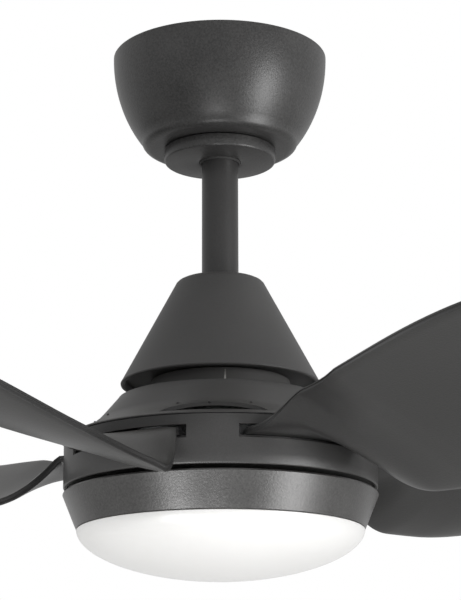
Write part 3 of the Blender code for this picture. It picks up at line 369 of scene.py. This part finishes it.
# ---- rod coupling -------------------------------------------------------------------------------
# A die-cast yoke on the motor shaft. A pin with a spring clip and two grub screws hold the rod
# in it.
cast_metal = grained_finish("die_cast_alloy", (0.40, 0.405, 0.41), (0.58, 0.585, 0.59), 0.50, grain=480.0,
                            bump=0.35, contrast=0.5, dust=0.15, metallic=1.0)
dress(cast_metal, "rod_coupling")
dress(ground_steel, "coupling_pin")
dress(zinc_plate, "pin_clip", "coupling_set_screw_1", "coupling_set_screw_2")

# ---- cone cover -----------------------------------------------------------------------------
# Moulded matt black cone over the rod coupling, with a rolled rim and a web that the coupling
# stands on.
matt_black = grained_finish("matt_black_plastic", (0.042, 0.0413, 0.041), (0.076, 0.0747, 0.074), 0.55,
                            grain=1500.0, bump=0.25, contrast=0.45)
low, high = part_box("cone_cover")
seat_low, seat_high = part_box("seat_plate")
cone_rim = high.x
cone_top = rod_radius + 0.0193
shell = 0.0022
web_bolt_hole = 0.0045
web = seat_high.z
slope = cone_rim - 0.0008
boss = rod_radius + 0.0075


def cone_wall(level):
    share = (level - low.z) / (high.z - low.z)
    return slope + (cone_top - slope) * share - shell * 1.15


line = [(rod_radius + 0.0008, high.z), (cone_top - 0.0085, high.z), (cone_top - 0.0060, high.z - 0.0002),
        (cone_top - 0.0038, high.z - 0.0008), (cone_top - 0.0020, high.z - 0.0017),
        (cone_top - 0.0006, high.z - 0.0031), (cone_top + 0.0004, high.z - 0.0050)]
line += [(cone_top + 0.0004 + (slope - cone_top - 0.0004) * k / 6,
          high.z - 0.0050 + (low.z + 0.0026 - high.z + 0.0050) * k / 6) for k in range(1, 7)]
line += [(cone_rim, low.z + 0.0014), (cone_rim - 0.0002, low.z + 0.0006), (cone_rim - 0.0012, low.z),
         (cone_rim - 0.0026, low.z), (cone_rim - 0.0032, low.z + 0.0008), (cone_rim - 0.0044, web + 0.0006),
         (boss + 0.0040, web + 0.0006), (boss + 0.0040, web + 0.0025),
         (cone_wall(web + 0.0025), web + 0.0025), (cone_wall(high.z - 0.0060), high.z - 0.0060),
         (cone_top - 0.0060, high.z - shell),
         (rod_radius + 0.0008, high.z - shell)]
cone = draw_round("cone_shell", line, end="loop")
middle = (boss + seat_high.x) / 2 + 0.004
tools = []
for k in range(3):
    a = math.radians(120 * k)
    tools.append(drill(web_bolt_hole, middle * math.sin(a), -middle * math.cos(a), web + 0.01, web - 0.01))
cut_away(cone, *tools)
smooth(cone)
stand_for(cone, "cone_cover", "hanging", matt_black)

# ---- seat plate, the neck -------------------------------------------------------------------
# Pressed steel cup bolted under the coupling; its skirt is the dark neck that shows between the
# cone and the housing, with one bare welded seam.
# The neck's black is mixed far lighter than the other black paints: painted light for the light that
# reaches into the gap between cone and housing.
neck_paint_with_painted_light = grained_finish("neck_black_paint_with_painted_light", (0.085, 0.0836, 0.0825), (0.135, 0.133, 0.131), 0.50,
                            grain=1300.0, bump=0.20)
neck_radius = seat_high.x
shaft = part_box("motor_shaft")[1].x
seam_width = 0.0015
line = [(shaft + 0.0003, seat_high.z), (neck_radius - 0.0012, seat_high.z),
        (neck_radius - 0.0003, seat_high.z - 0.0004), (neck_radius, seat_high.z - 0.0012),
        (neck_radius, seat_low.z), (neck_radius - shell, seat_low.z),
        (neck_radius - shell, seat_high.z - 0.0020), (shaft + 0.0003, seat_high.z - 0.0020)]
neck = draw_round("neck_cup", line, end="loop")
bare_steel = bpy.data.materials.new("bare_weld_steel")
bare_steel.use_nodes = True
nodes, links = bare_steel.node_tree.nodes, bare_steel.node_tree.links
shader = nodes["Principled BSDF"]
shader.inputs["Metallic"].default_value = 0.85
shader.inputs["Roughness"].default_value = 0.42
spot = nodes.new("ShaderNodeTexCoord")
scuff = nodes.new("ShaderNodeTexNoise")
scuff.inputs["Scale"].default_value = 700.0
tone = nodes.new("ShaderNodeMix")
tone.data_type = "RGBA"
tone.inputs["A"].default_value = (0.30, 0.29, 0.28, 1)
tone.inputs["B"].default_value = (0.62, 0.61, 0.59, 1)
links.new(spot.outputs["Object"], scuff.inputs["Vector"])
links.new(scuff.outputs["Fac"], tone.inputs["Factor"])
links.new(tone.outputs["Result"], shader.inputs["Base Color"])
seam_turn = math.radians(4)
pick_nothing()
bpy.ops.mesh.primitive_cube_add(size=1)
seam = bpy.context.object
seam.scale = (seam_width, 0.0012, seat_high.z - seat_low.z - 0.0030)
seam.location = (0, -neck_radius + 0.0005, (seat_high.z + seat_low.z) / 2)
bpy.ops.object.transform_apply(location=True, rotation=True, scale=True)
seam.data.transform(Matrix.Rotation(seam_turn, 4, "Z"))
round_edges(seam, 0.0003)
seam.data.materials.append(bare_steel)
neck.data.materials.append(neck_paint_with_painted_light)
pick(seam, neck)
bpy.ops.object.join()
smooth(neck)
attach(neck, "hanging")
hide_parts("seat_plate")

# ---- housing cover --------------------------------------------------------------------------
# Moulded black cover of the motor. It flares into a thin lip and has a long lens-shaped vent
# between every two blades, with three small pips above each vent.
low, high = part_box("housing_cover")
lip_radius = high.x
rotor_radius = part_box("rotor_hub")[1].x
top = rotor_radius * 0.661
knee = rotor_radius * 0.783
drop = high.z - low.z
cover_black = grained_finish("cover_black_plastic", (0.022, 0.0216, 0.0213), (0.046, 0.045, 0.0445), 0.42,
                             grain=1400.0, bump=0.25, contrast=0.5)
flare = [(0.16, 0.640), (0.26, 0.690), (0.36, 0.735), (0.48, 0.784), (0.60, 0.830), (0.72, 0.874),
         (0.84, 0.915)]
line = [(top - 0.0010, high.z), (top - 0.0003, high.z - 0.0003), (top, high.z - 0.0009)]
line += [(top + (knee - top) * k / 4, high.z - 0.0009 - (drop * 0.543 - 0.0009) * k / 4) for k in (1, 2, 3)]
line += [(knee - 0.0004, high.z - drop * 0.52), (knee + 0.0008, high.z - drop * 0.565)]
line += [(knee + (lip_radius - knee) * share, high.z - drop * down) for share, down in flare]
line += [(lip_radius - 0.0006, high.z - drop * 0.958), (lip_radius, high.z - drop * 0.978),
         (lip_radius, low.z), (lip_radius - 0.0018, low.z)]
for radius, level in ((knee + (lip_radius - knee) * 0.84, high.z - drop * 0.915),
                      (knee + (lip_radius - knee) * 0.36, high.z - drop * 0.735),
                      (knee, high.z - drop * 0.543)):
    line.append((radius - 0.0017, level - 0.0019))
line += [(top - 0.0026, high.z - shell), (shaft + 0.0080, high.z - shell), (shaft + 0.0080, high.z)]
cover = draw_round("housing_cover_shell", line, sides=180, end="loop")

blade_turn = math.radians(-38.4)
fifth = math.radians(72)
vent_half = math.radians(20)
vent_outer = rotor_radius * 0.955
vent_side = 0.0012
vent_inner = rotor_radius * 0.825


def vent_tool(middle):
    """The lens shape is drawn as a grid, bent round the axis and given depth."""
    pick_nothing()
    bpy.ops.mesh.primitive_grid_add(x_subdivisions=32, y_subdivisions=1, size=2)
    tool = bpy.context.object
    for corner_point in tool.data.vertices:
        share, side = corner_point.co.x, corner_point.co.y
        bow = math.cos(share * math.pi / 2) ** 0.35 if abs(share) < 0.999 else 0.0
        if side > 0:
            reach = vent_outer
        else:
            reach = vent_outer - vent_side - (vent_outer - vent_inner) * bow
        a = middle + vent_half * share
        corner_point.co = (reach * math.sin(a), -reach * math.cos(a), high.z)
    bpy.ops.object.mode_set(mode="EDIT")
    bpy.ops.mesh.select_all(action="SELECT")
    bpy.ops.mesh.extrude_region_move(TRANSFORM_OT_translate={"value": (0, 0, low.z - high.z - 0.01)})
    bpy.ops.mesh.select_all(action="SELECT")
    bpy.ops.mesh.normals_make_consistent(inside=False)
    bpy.ops.object.mode_set(mode="OBJECT")
    return tool


cut_away(cover, *[vent_tool(blade_turn + fifth * (k + 0.5)) for k in range(5)])
pip = 0.0010
pips = []
for k in range(5):
    for turn in (-15.8, -2, 15.8):
        a = blade_turn + fifth * (k + 0.5) + math.radians(turn)
        reach = rotor_radius * 0.815
        pick_nothing()
        bpy.ops.mesh.primitive_uv_sphere_add(segments=12, ring_count=6, radius=pip,
                                             location=(reach * math.sin(a), -reach * math.cos(a),
                                                       high.z - drop * 0.632))
        pips.append(bpy.context.object)
pick(*pips, cover)
bpy.ops.object.join()
bpy.ops.object.transform_apply(location=True, rotation=True, scale=True)
smooth(cover, 28)
stand_for(cover, "housing_cover", "rotor", cover_black)

# ---- rotor hub ------------------------------------------------------------------------------
# The turning drum: a plain wall with five long blade slots, moulded in one with the deck that
# the blade tongues are screwed to.
low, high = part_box("rotor_hub")
hub_wall = 0.0024
fit = 0.0003
wall_height = 0.0337
blade_thick = 0.0045
slot_height = 0.0090
slot_middle = high.z + fit - 0.35 * wall_height
deck = slot_middle - blade_thick / 2 - fit
deck_thick = 0.0030
hub_inner = min(0.0595, rotor_radius * 0.54) + fit
line = [(rotor_radius - 0.0003, high.z), (rotor_radius, high.z - 0.0003)]
line += [(rotor_radius, high.z - 0.0003 - (high.z - low.z - 0.0013) * k / 5) for k in range(1, 6)]
line += [(rotor_radius - 0.0003, low.z + 0.0004), (rotor_radius - 0.0008, low.z),
         (rotor_radius - hub_wall, low.z), (rotor_radius - hub_wall, deck - deck_thick),
         (hub_inner, deck - deck_thick),
         (hub_inner, deck), (rotor_radius - hub_wall, deck), (rotor_radius - hub_wall, high.z)]
hub = draw_round("rotor_drum", line, sides=180, end="loop")
slot_half = math.radians(27)


def slot_tool(middle):
    """A curved bar through the wall, as high as the slot."""
    pick_nothing()
    bpy.ops.mesh.primitive_grid_add(x_subdivisions=28, y_subdivisions=1, size=2)
    tool = bpy.context.object
    for corner_point in tool.data.vertices:
        share, side = corner_point.co.x, corner_point.co.y
        reach = rotor_radius + 0.01 if side > 0 else rotor_radius - hub_wall - 0.0008
        a = middle + slot_half * share
        corner_point.co = (reach * math.sin(a), -reach * math.cos(a), slot_middle - slot_height / 2)
    bpy.ops.object.mode_set(mode="EDIT")
    bpy.ops.mesh.select_all(action="SELECT")
    bpy.ops.mesh.extrude_region_move(TRANSFORM_OT_translate={"value": (0, 0, slot_height)})
    bpy.ops.mesh.select_all(action="SELECT")
    bpy.ops.mesh.normals_make_consistent(inside=False)
    bpy.ops.object.mode_set(mode="OBJECT")
    return tool


cut_away(hub, *[slot_tool(blade_turn + fifth * k) for k in range(5)])
smooth(hub, 28)
stand_for(hub, "rotor_hub", "rotor", cover_black)

dress(zinc_plate, "hub_screw_1", "hub_screw_2", "hub_screw_3")

# ---- motor --------------------------------------------------------------------------------------
# An outer-rotor motor: stacked laminations and copper coils are fixed to the still shaft, and a
# cast case with a ring of ferrite turns round them on two ball races.
dress(cast_metal, "motor_case", "motor_case_lid")
dress(ground_steel, "motor_shaft", "upper_inner_race", "upper_outer_race", "lower_inner_race",
      "lower_outer_race")
stacked = grained_finish("stacked_laminations", (0.12, 0.12, 0.125), (0.30, 0.30, 0.305), 0.48, grain=60.0,
                         bump=0.30, contrast=0.9, dust=0.05, metallic=0.9, stretch=(1, 1, 34))
dress(stacked, "stator_core")
ferrite = grained_finish("sintered_ferrite", (0.058, 0.058, 0.06), (0.12, 0.12, 0.122), 0.62, grain=700.0,
                         bump=0.20, contrast=0.6, dust=0.1, metallic=0.2)
dress(ferrite, "magnet_ring")
copper_wire = bpy.data.materials.new("enamelled_copper_wire")
copper_wire.use_nodes = True
nodes, links = copper_wire.node_tree.nodes, copper_wire.node_tree.links
shader = nodes["Principled BSDF"]
shader.inputs["Metallic"].default_value = 0.9
shader.inputs["Roughness"].default_value = 0.30
shader.inputs["Coat Weight"].default_value = 0.4
spot = nodes.new("ShaderNodeTexCoord")
turns = nodes.new("ShaderNodeTexWave")
turns.wave_type = "RINGS"
turns.rings_direction = "Z"
turns.inputs["Scale"].default_value = 450.0
shades = nodes.new("ShaderNodeMix")
shades.data_type = "RGBA"
shades.inputs["A"].default_value = (0.30, 0.11, 0.045, 1)
shades.inputs["B"].default_value = (0.74, 0.33, 0.14, 1)
wound = nodes.new("ShaderNodeBump")
wound.inputs["Strength"].default_value = 0.6
wound.inputs["Distance"].default_value = 0.0005
links.new(spot.outputs["Object"], turns.inputs["Vector"])
links.new(turns.outputs["Fac"], shades.inputs["Factor"])
links.new(turns.outputs["Fac"], wound.inputs["Height"])
links.new(shades.outputs["Result"], shader.inputs["Base Color"])
links.new(wound.outputs["Normal"], shader.inputs["Normal"])
dress(copper_wire, "upper_winding", "lower_winding")
# The bottom cover's black is mixed lighter than the cover and drum plastic: painted light for the shaded
# gap between drum wall and light ring, where it shows.
lower_black_with_painted_light = grained_finish("bottom_cover_plastic_with_painted_light", (0.050, 0.0492, 0.0485), (0.088, 0.0866, 0.0853), 0.52,
                             grain=1400.0, bump=0.2)
dress(lower_black_with_painted_light, "bottom_cover")

# ---- blades ---------------------------------------------------------------------------------
# Five moulded blades of black plastic. Each is a scoop whose trailing edge folds down beside the
# drum; a parting groove runs round its edge.
blade_black = grained_finish("blade_black_plastic", (0.0090, 0.0088, 0.0087), (0.021, 0.0205, 0.0203), 0.36,
                             grain=700.0, bump=0.24, contrast=0.5)
fan_radius = 0.610
reach_out = fan_radius - rotor_radius
tongue = rotor_radius - 0.0250
tip_round = 0.045
tip_trim = 0.0008
tip_stop = 0.0026
root_length = 0.135
root_rows = 0.45
lead_rise = 0.0160
tip_rise = 0.0160
trail_drop = 0.0345
trail_rise = 0.0330
blade_screw_hole = 0.0019


def soft_step(value):
    value = min(max(value, 0.0), 1.0)
    return value * value * (3 - 2 * value)


def quick_step(value):
    value = min(max(value, 0.0), 1.0)
    return 1 - (1 - value) ** 2


def blade_spot(radius, share):
    """Middle of the blade's thickness; share runs from the leading to the trailing edge."""
    out = max(radius - rotor_radius, 0.0)
    root = rotor_radius * math.sin(math.radians(24.3))
    late = soft_step(out / reach_out * 2 - 1)
    lead = root + 0.0375 * soft_step((out - 0.010) / 0.26) - 0.0190 * late
    lead -= 0.0050 * math.sin(math.pi * min(out / 0.11, 1.0))
    trail = root + 0.0490 * quick_step((out - 0.002) / 0.15) - 0.0280 * late
    rise = lead_rise * soft_step((out - 0.005) / 0.052) + tip_rise * max(0.0, out / reach_out - 0.18)
    fall = -trail_drop * quick_step((out - 0.003) / 0.055) + trail_rise * soft_step((out - 0.085) / 0.21)
    if out == 0.0:
        rise = fall = 0.0
    left = fan_radius - tip_trim - radius
    if left < tip_round:
        narrow = math.sqrt(max(0.0, 1 - ((tip_round - left) / tip_round) ** 2)) * 0.62 + 0.38
        lead *= narrow
        trail *= narrow
    wide = min(radius, rotor_radius) / rotor_radius
    start = -math.asin(lead * wide / radius)
    end = math.asin(trail * wide / radius)
    fold = 1 - share ** 2.6
    scoop = (1 - share) ** 1.35
    level = fall + (rise - fall) * (fold + (scoop - fold) * soft_step((out - 0.004) / 0.030))
    a = start + (end - start) * share
    return Vector((radius * math.sin(a), -radius * math.cos(a), slot_middle + level))


rows = 110
columns = 26
pick_nothing()
bpy.ops.mesh.primitive_grid_add(x_subdivisions=columns, y_subdivisions=rows, size=1)
blade = bpy.context.object
for point in blade.data.vertices:
    share = min(max(point.co.x + 0.5, 0.0), 1.0)
    along = min(max(point.co.y + 0.5, 0.0), 1.0)
    if along < root_rows:
        radius = tongue + root_length * along / root_rows
    else:
        eased = math.sin((along - root_rows) / 0.55 * math.pi / 2)
        radius = tongue + root_length + (fan_radius - tip_stop - tongue - root_length) * eased
    point.co = blade_spot(radius, share)
bpy.ops.object.mode_set(mode="EDIT")
bpy.ops.mesh.select_all(action="SELECT")
bpy.ops.mesh.normals_make_consistent(inside=False)
bpy.ops.object.mode_set(mode="OBJECT")
thickness = blade.modifiers.new("thickness", "SOLIDIFY")
thickness.thickness = blade_thick
thickness.offset = 0
apply_all(blade)
bpy.ops.object.mode_set(mode="EDIT")
bpy.ops.mesh.select_all(action="DESELECT")
bpy.ops.object.mode_set(mode="OBJECT")
for face in list(blade.data.polygons)[2 * rows * columns:]:
    face.select = True
bpy.ops.object.mode_set(mode="EDIT")
bpy.ops.mesh.select_mode(type="FACE")
bpy.ops.mesh.inset(thickness=0.0013, depth=0, use_even_offset=True)
bpy.ops.mesh.inset(thickness=0.00025, depth=-0.0005, use_even_offset=True)
bpy.ops.object.mode_set(mode="OBJECT")
round_edges(blade, 0.0005, angle=50)
for k in range(5):
    pick(blade)
    bpy.ops.object.duplicate()
    copy = bpy.context.object
    copy.name = f"blade_scoop_{k + 1}"
    copy.data.transform(Matrix.Rotation(blade_turn + fifth * k, 4, "Z"))
    holes = []
    for screw in (2 * k + 1, 2 * k + 2):
        spot_low, spot_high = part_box(f"blade_screw_{screw}")
        holes.append(drill(blade_screw_hole, (spot_low.x + spot_high.x) / 2, (spot_low.y + spot_high.y) / 2,
                           slot_middle + 0.01, slot_middle - 0.01))
    cut_away(copy, *holes)
    smooth(copy, 28)
    stand_for(copy, f"blade_{k + 1}", "rotor", blade_black)
bpy.data.objects.remove(blade)
dress(zinc_plate, *[f"blade_screw_{k}" for k in range(1, 11)])

# ---- light ring -----------------------------------------------------------------------------
# The fixed band under the drum: spun aluminium, satin black, tapering to a rolled lower edge
# that carries the bayonet for the diffuser.
ring_black = grained_finish("ring_satin_black", (0.031, 0.0304, 0.030), (0.082, 0.0803, 0.0792), 0.36,
                            grain=700.0, bump=0.30, contrast=0.7, coat=0.20, coat_rough=0.34, metallic=0.25)
low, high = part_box("light_ring")
ring_top = high.x
ring_low = rotor_radius * 0.918
lip_in = rotor_radius * 0.889
groove = lip_in + 0.0024
lip_high = low.z + 0.0024
flange = 0.0018
screw_ring = rotor_radius * 0.865
line = [(ring_top - 0.0018, high.z), (ring_top - 0.0006, high.z - 0.0003), (ring_top, high.z - 0.0014)]
line += [(ring_top + (ring_low - ring_top) * k / 6,
          high.z - 0.0014 + (low.z + 0.0014 - high.z) * k / 6 + 0.0008 * k / 6) for k in range(1, 6)]
line += [(ring_low, low.z + 0.0010), (ring_low - 0.0003, low.z + 0.0003), (ring_low - 0.0010, low.z),
         (lip_in + 0.0004, low.z), (lip_in, low.z + 0.0004), (lip_in, lip_high), (groove, lip_high),
         (groove, lip_high + 0.0055), (ring_top - 0.0042, high.z - flange),
         (screw_ring - 0.0050, high.z - flange), (screw_ring - 0.0050, high.z)]
ring = draw_round("light_ring_band", line, sides=180, end="loop")
ring_screw_hole = 0.0019
tools = []
for k in range(3):
    low_screw, high_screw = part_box(f"ring_screw_{k + 1}")
    tools.append(drill(ring_screw_hole, (low_screw.x + high_screw.x) / 2, (low_screw.y + high_screw.y) / 2,
                       high.z + 0.01, high.z - 0.01))
cut_away(ring, *tools)
smooth(ring)
stand_for(ring, "light_ring", "hanging", ring_black)

# ---- light plate, driver and LED board ----------------------------------------------------------
# A plated steel plate held to the shaft by a nut carries the ring on three screws, the driver in
# a white case, and the round board of LEDs with its white solder mask.
dress(zinc_plate, "light_plate", "shaft_nut", "ring_screw_1", "ring_screw_2", "ring_screw_3")
dress(white_moulding, "led_driver")
board_white = grained_finish("white_solder_mask", (0.78, 0.78, 0.76), (0.88, 0.88, 0.86), 0.34, grain=500.0,
                             bump=0.03, contrast=0.4, dust=0.0, coat=0.3, coat_rough=0.25)
dress(board_white, "led_board")

# ---- diffuser -------------------------------------------------------------------------------
# Opal acrylic dome, vacuum-formed, with an upright rim that sits inside the light ring. A twist
# of 25 degrees frees it.
opal = bpy.data.materials.new("opal_acrylic")
opal.use_nodes = True
nodes, links = opal.node_tree.nodes, opal.node_tree.links
shader = nodes["Principled BSDF"]
shader.inputs["Roughness"].default_value = 0.34
shader.inputs["Subsurface Weight"].default_value = 0.25
shader.inputs["Subsurface Radius"].default_value = (0.02, 0.02, 0.018)
shader.inputs["Coat Weight"].default_value = 0.2
shader.inputs["Coat Roughness"].default_value = 0.25
# The faint emission is a painted glow: it lifts the dome's brightness evenly in place of light falling on
# it, and no lamp behind it is lit.
shader.inputs["Emission Color"].default_value = (1.0, 0.985, 0.96, 1)
shader.inputs["Emission Strength"].default_value = 0.07
spot = nodes.new("ShaderNodeTexCoord")
cloud = nodes.new("ShaderNodeTexNoise")
cloud.inputs["Scale"].default_value = 14.0
cloud.inputs["Detail"].default_value = 3.0
tint = nodes.new("ShaderNodeMix")
tint.data_type = "RGBA"
tint.inputs["A"].default_value = (0.54, 0.537, 0.53, 1)
tint.inputs["B"].default_value = (0.58, 0.577, 0.57, 1)
ripple = nodes.new("ShaderNodeBump")
ripple.inputs["Strength"].default_value = 0.04
ripple.inputs["Distance"].default_value = 0.001
links.new(spot.outputs["Object"], cloud.inputs["Vector"])
links.new(cloud.outputs["Fac"], tint.inputs["Factor"])
links.new(tint.outputs["Result"], shader.inputs["Base Color"])
links.new(cloud.outputs["Fac"], ripple.inputs["Height"])
links.new(ripple.outputs["Normal"], shader.inputs["Normal"])

low_dome, high_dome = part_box("diffuser")
rim = lip_in - 0.0006
dome_wall = 0.0020
rim_edge = low.z - 0.0003
dome_depth = rim_edge - low_dome.z
dome_radius = rotor_radius * 0.9135
line = [(rim, high_dome.z), (rim, rim_edge), (dome_radius - 0.0004, rim_edge),
        (dome_radius, rim_edge - 0.0004)]
for k in range(1, 24):
    a = math.pi / 2 * (1 - k / 24)
    share = math.sin(a)
    line.append((dome_radius * share, rim_edge - dome_depth * (1 - share ** 1.9) ** (1 / 1.9)))
line.append((0.0004, low_dome.z + 0.00001))
dome = draw_round("diffuser_dome", line, sides=144, end="pole")
thickness = dome.modifiers.new("thickness", "SOLIDIFY")
thickness.thickness = dome_wall
thickness.offset = -1
apply_all(dome)
smooth(dome, 40)
stand_for(dome, "diffuser", "light_cover", opal)

# ---- studio ---------------------------------------------------------------------------------
# A pale floor far below the fan, soft lights round it and the camera a little below it.
pick_nothing()
bpy.ops.mesh.primitive_plane_add(size=14, location=(0, 0, -2.4))
floor = bpy.context.object
floor.name = "studio_floor"
pale = bpy.data.materials.new("pale_floor")
pale.use_nodes = True
pale.node_tree.nodes["Principled BSDF"].inputs["Base Color"].default_value = (0.66, 0.66, 0.65, 1)
pale.node_tree.nodes["Principled BSDF"].inputs["Roughness"].default_value = 0.8
wear(floor, pale)


def soft_light(name, place, aim, wide, tall, power):
    lamp = bpy.data.lights.new(name, "AREA")
    lamp.shape = "RECTANGLE"
    lamp.size = wide
    lamp.size_y = tall
    lamp.energy = power
    holder = bpy.data.objects.new(name, lamp)
    holder.location = place
    holder.rotation_euler = (Vector(aim) - Vector(place)).to_track_quat("-Z", "Y").to_euler()
    bpy.context.scene.collection.objects.link(holder)


soft_light("right_front_light", (1.20, -0.80, -0.80), (0, 0, -0.16), 0.58, 1.20, 23)
soft_light("left_light", (-0.72, -1.00, -1.5), (0, 0, -0.10), 0.34, 0.7, 17)
soft_light("front_light", (-0.10, -1.05, -1.6), (0, 0, -0.10), 0.2, 0.7, 7)
soft_light("overhead_light", (0.1, 0.3, 1.6), (0, 0, -0.2), 1.6, 1.6, 5)

world = bpy.data.worlds.new("studio_white")
bpy.context.scene.world = world
world.use_nodes = True
nodes, links = world.node_tree.nodes, world.node_tree.links
backdrop = nodes["Background"]
backdrop.inputs["Strength"].default_value = 1.0
around = nodes.new("ShaderNodeTexCoord")
height = nodes.new("ShaderNodeSeparateXYZ")
fade = nodes.new("ShaderNodeValToRGB")
fade.color_ramp.elements[0].position = 0.05
fade.color_ramp.elements[0].color = (0.24, 0.24, 0.24, 1)
fade.color_ramp.elements[1].position = 0.46
fade.color_ramp.elements[1].color = (0.70, 0.70, 0.70, 1)
top_shade = fade.color_ramp.elements.new(0.95)
top_shade.color = (0.55, 0.55, 0.55, 1)
lift = nodes.new("ShaderNodeMapRange")
lift.inputs["From Min"].default_value = -1.0
links.new(around.outputs["Generated"], height.inputs[0])
links.new(height.outputs["Z"], lift.inputs["Value"])
links.new(lift.outputs[0], fade.inputs["Fac"])
links.new(fade.outputs["Color"], backdrop.inputs["Color"])
shown = nodes.new("ShaderNodeBackground")
shown.inputs["Color"].default_value = (1, 1, 1, 1)
shown.inputs["Strength"].default_value = 1.0
seen = nodes.new("ShaderNodeLightPath")
chosen = nodes.new("ShaderNodeMixShader")
links.new(seen.outputs["Is Camera Ray"], chosen.inputs["Fac"])
links.new(backdrop.outputs[0], chosen.inputs[1])
links.new(shown.outputs[0], chosen.inputs[2])
links.new(chosen.outputs[0], nodes["World Output"].inputs["Surface"])

lens = bpy.data.cameras.new("camera")
lens.lens = 120
lens.sensor_width = 36
lens.sensor_fit = "AUTO"
lens.clip_end = 60
camera = bpy.data.objects.new("camera", lens)
bpy.context.scene.collection.objects.link(camera)
distance = 1.402
upward = Matrix.Rotation(math.radians(90 + 14.88), 4, "X")
roll = Matrix.Rotation(math.radians(-0.2), 4, "Z")
camera.matrix_world = Matrix.Translation((0.0053 * distance, -distance, -0.5587)) @ upward @ roll
bpy.context.scene.camera = camera
bpy.context.scene.view_settings.view_transform = "Standard"
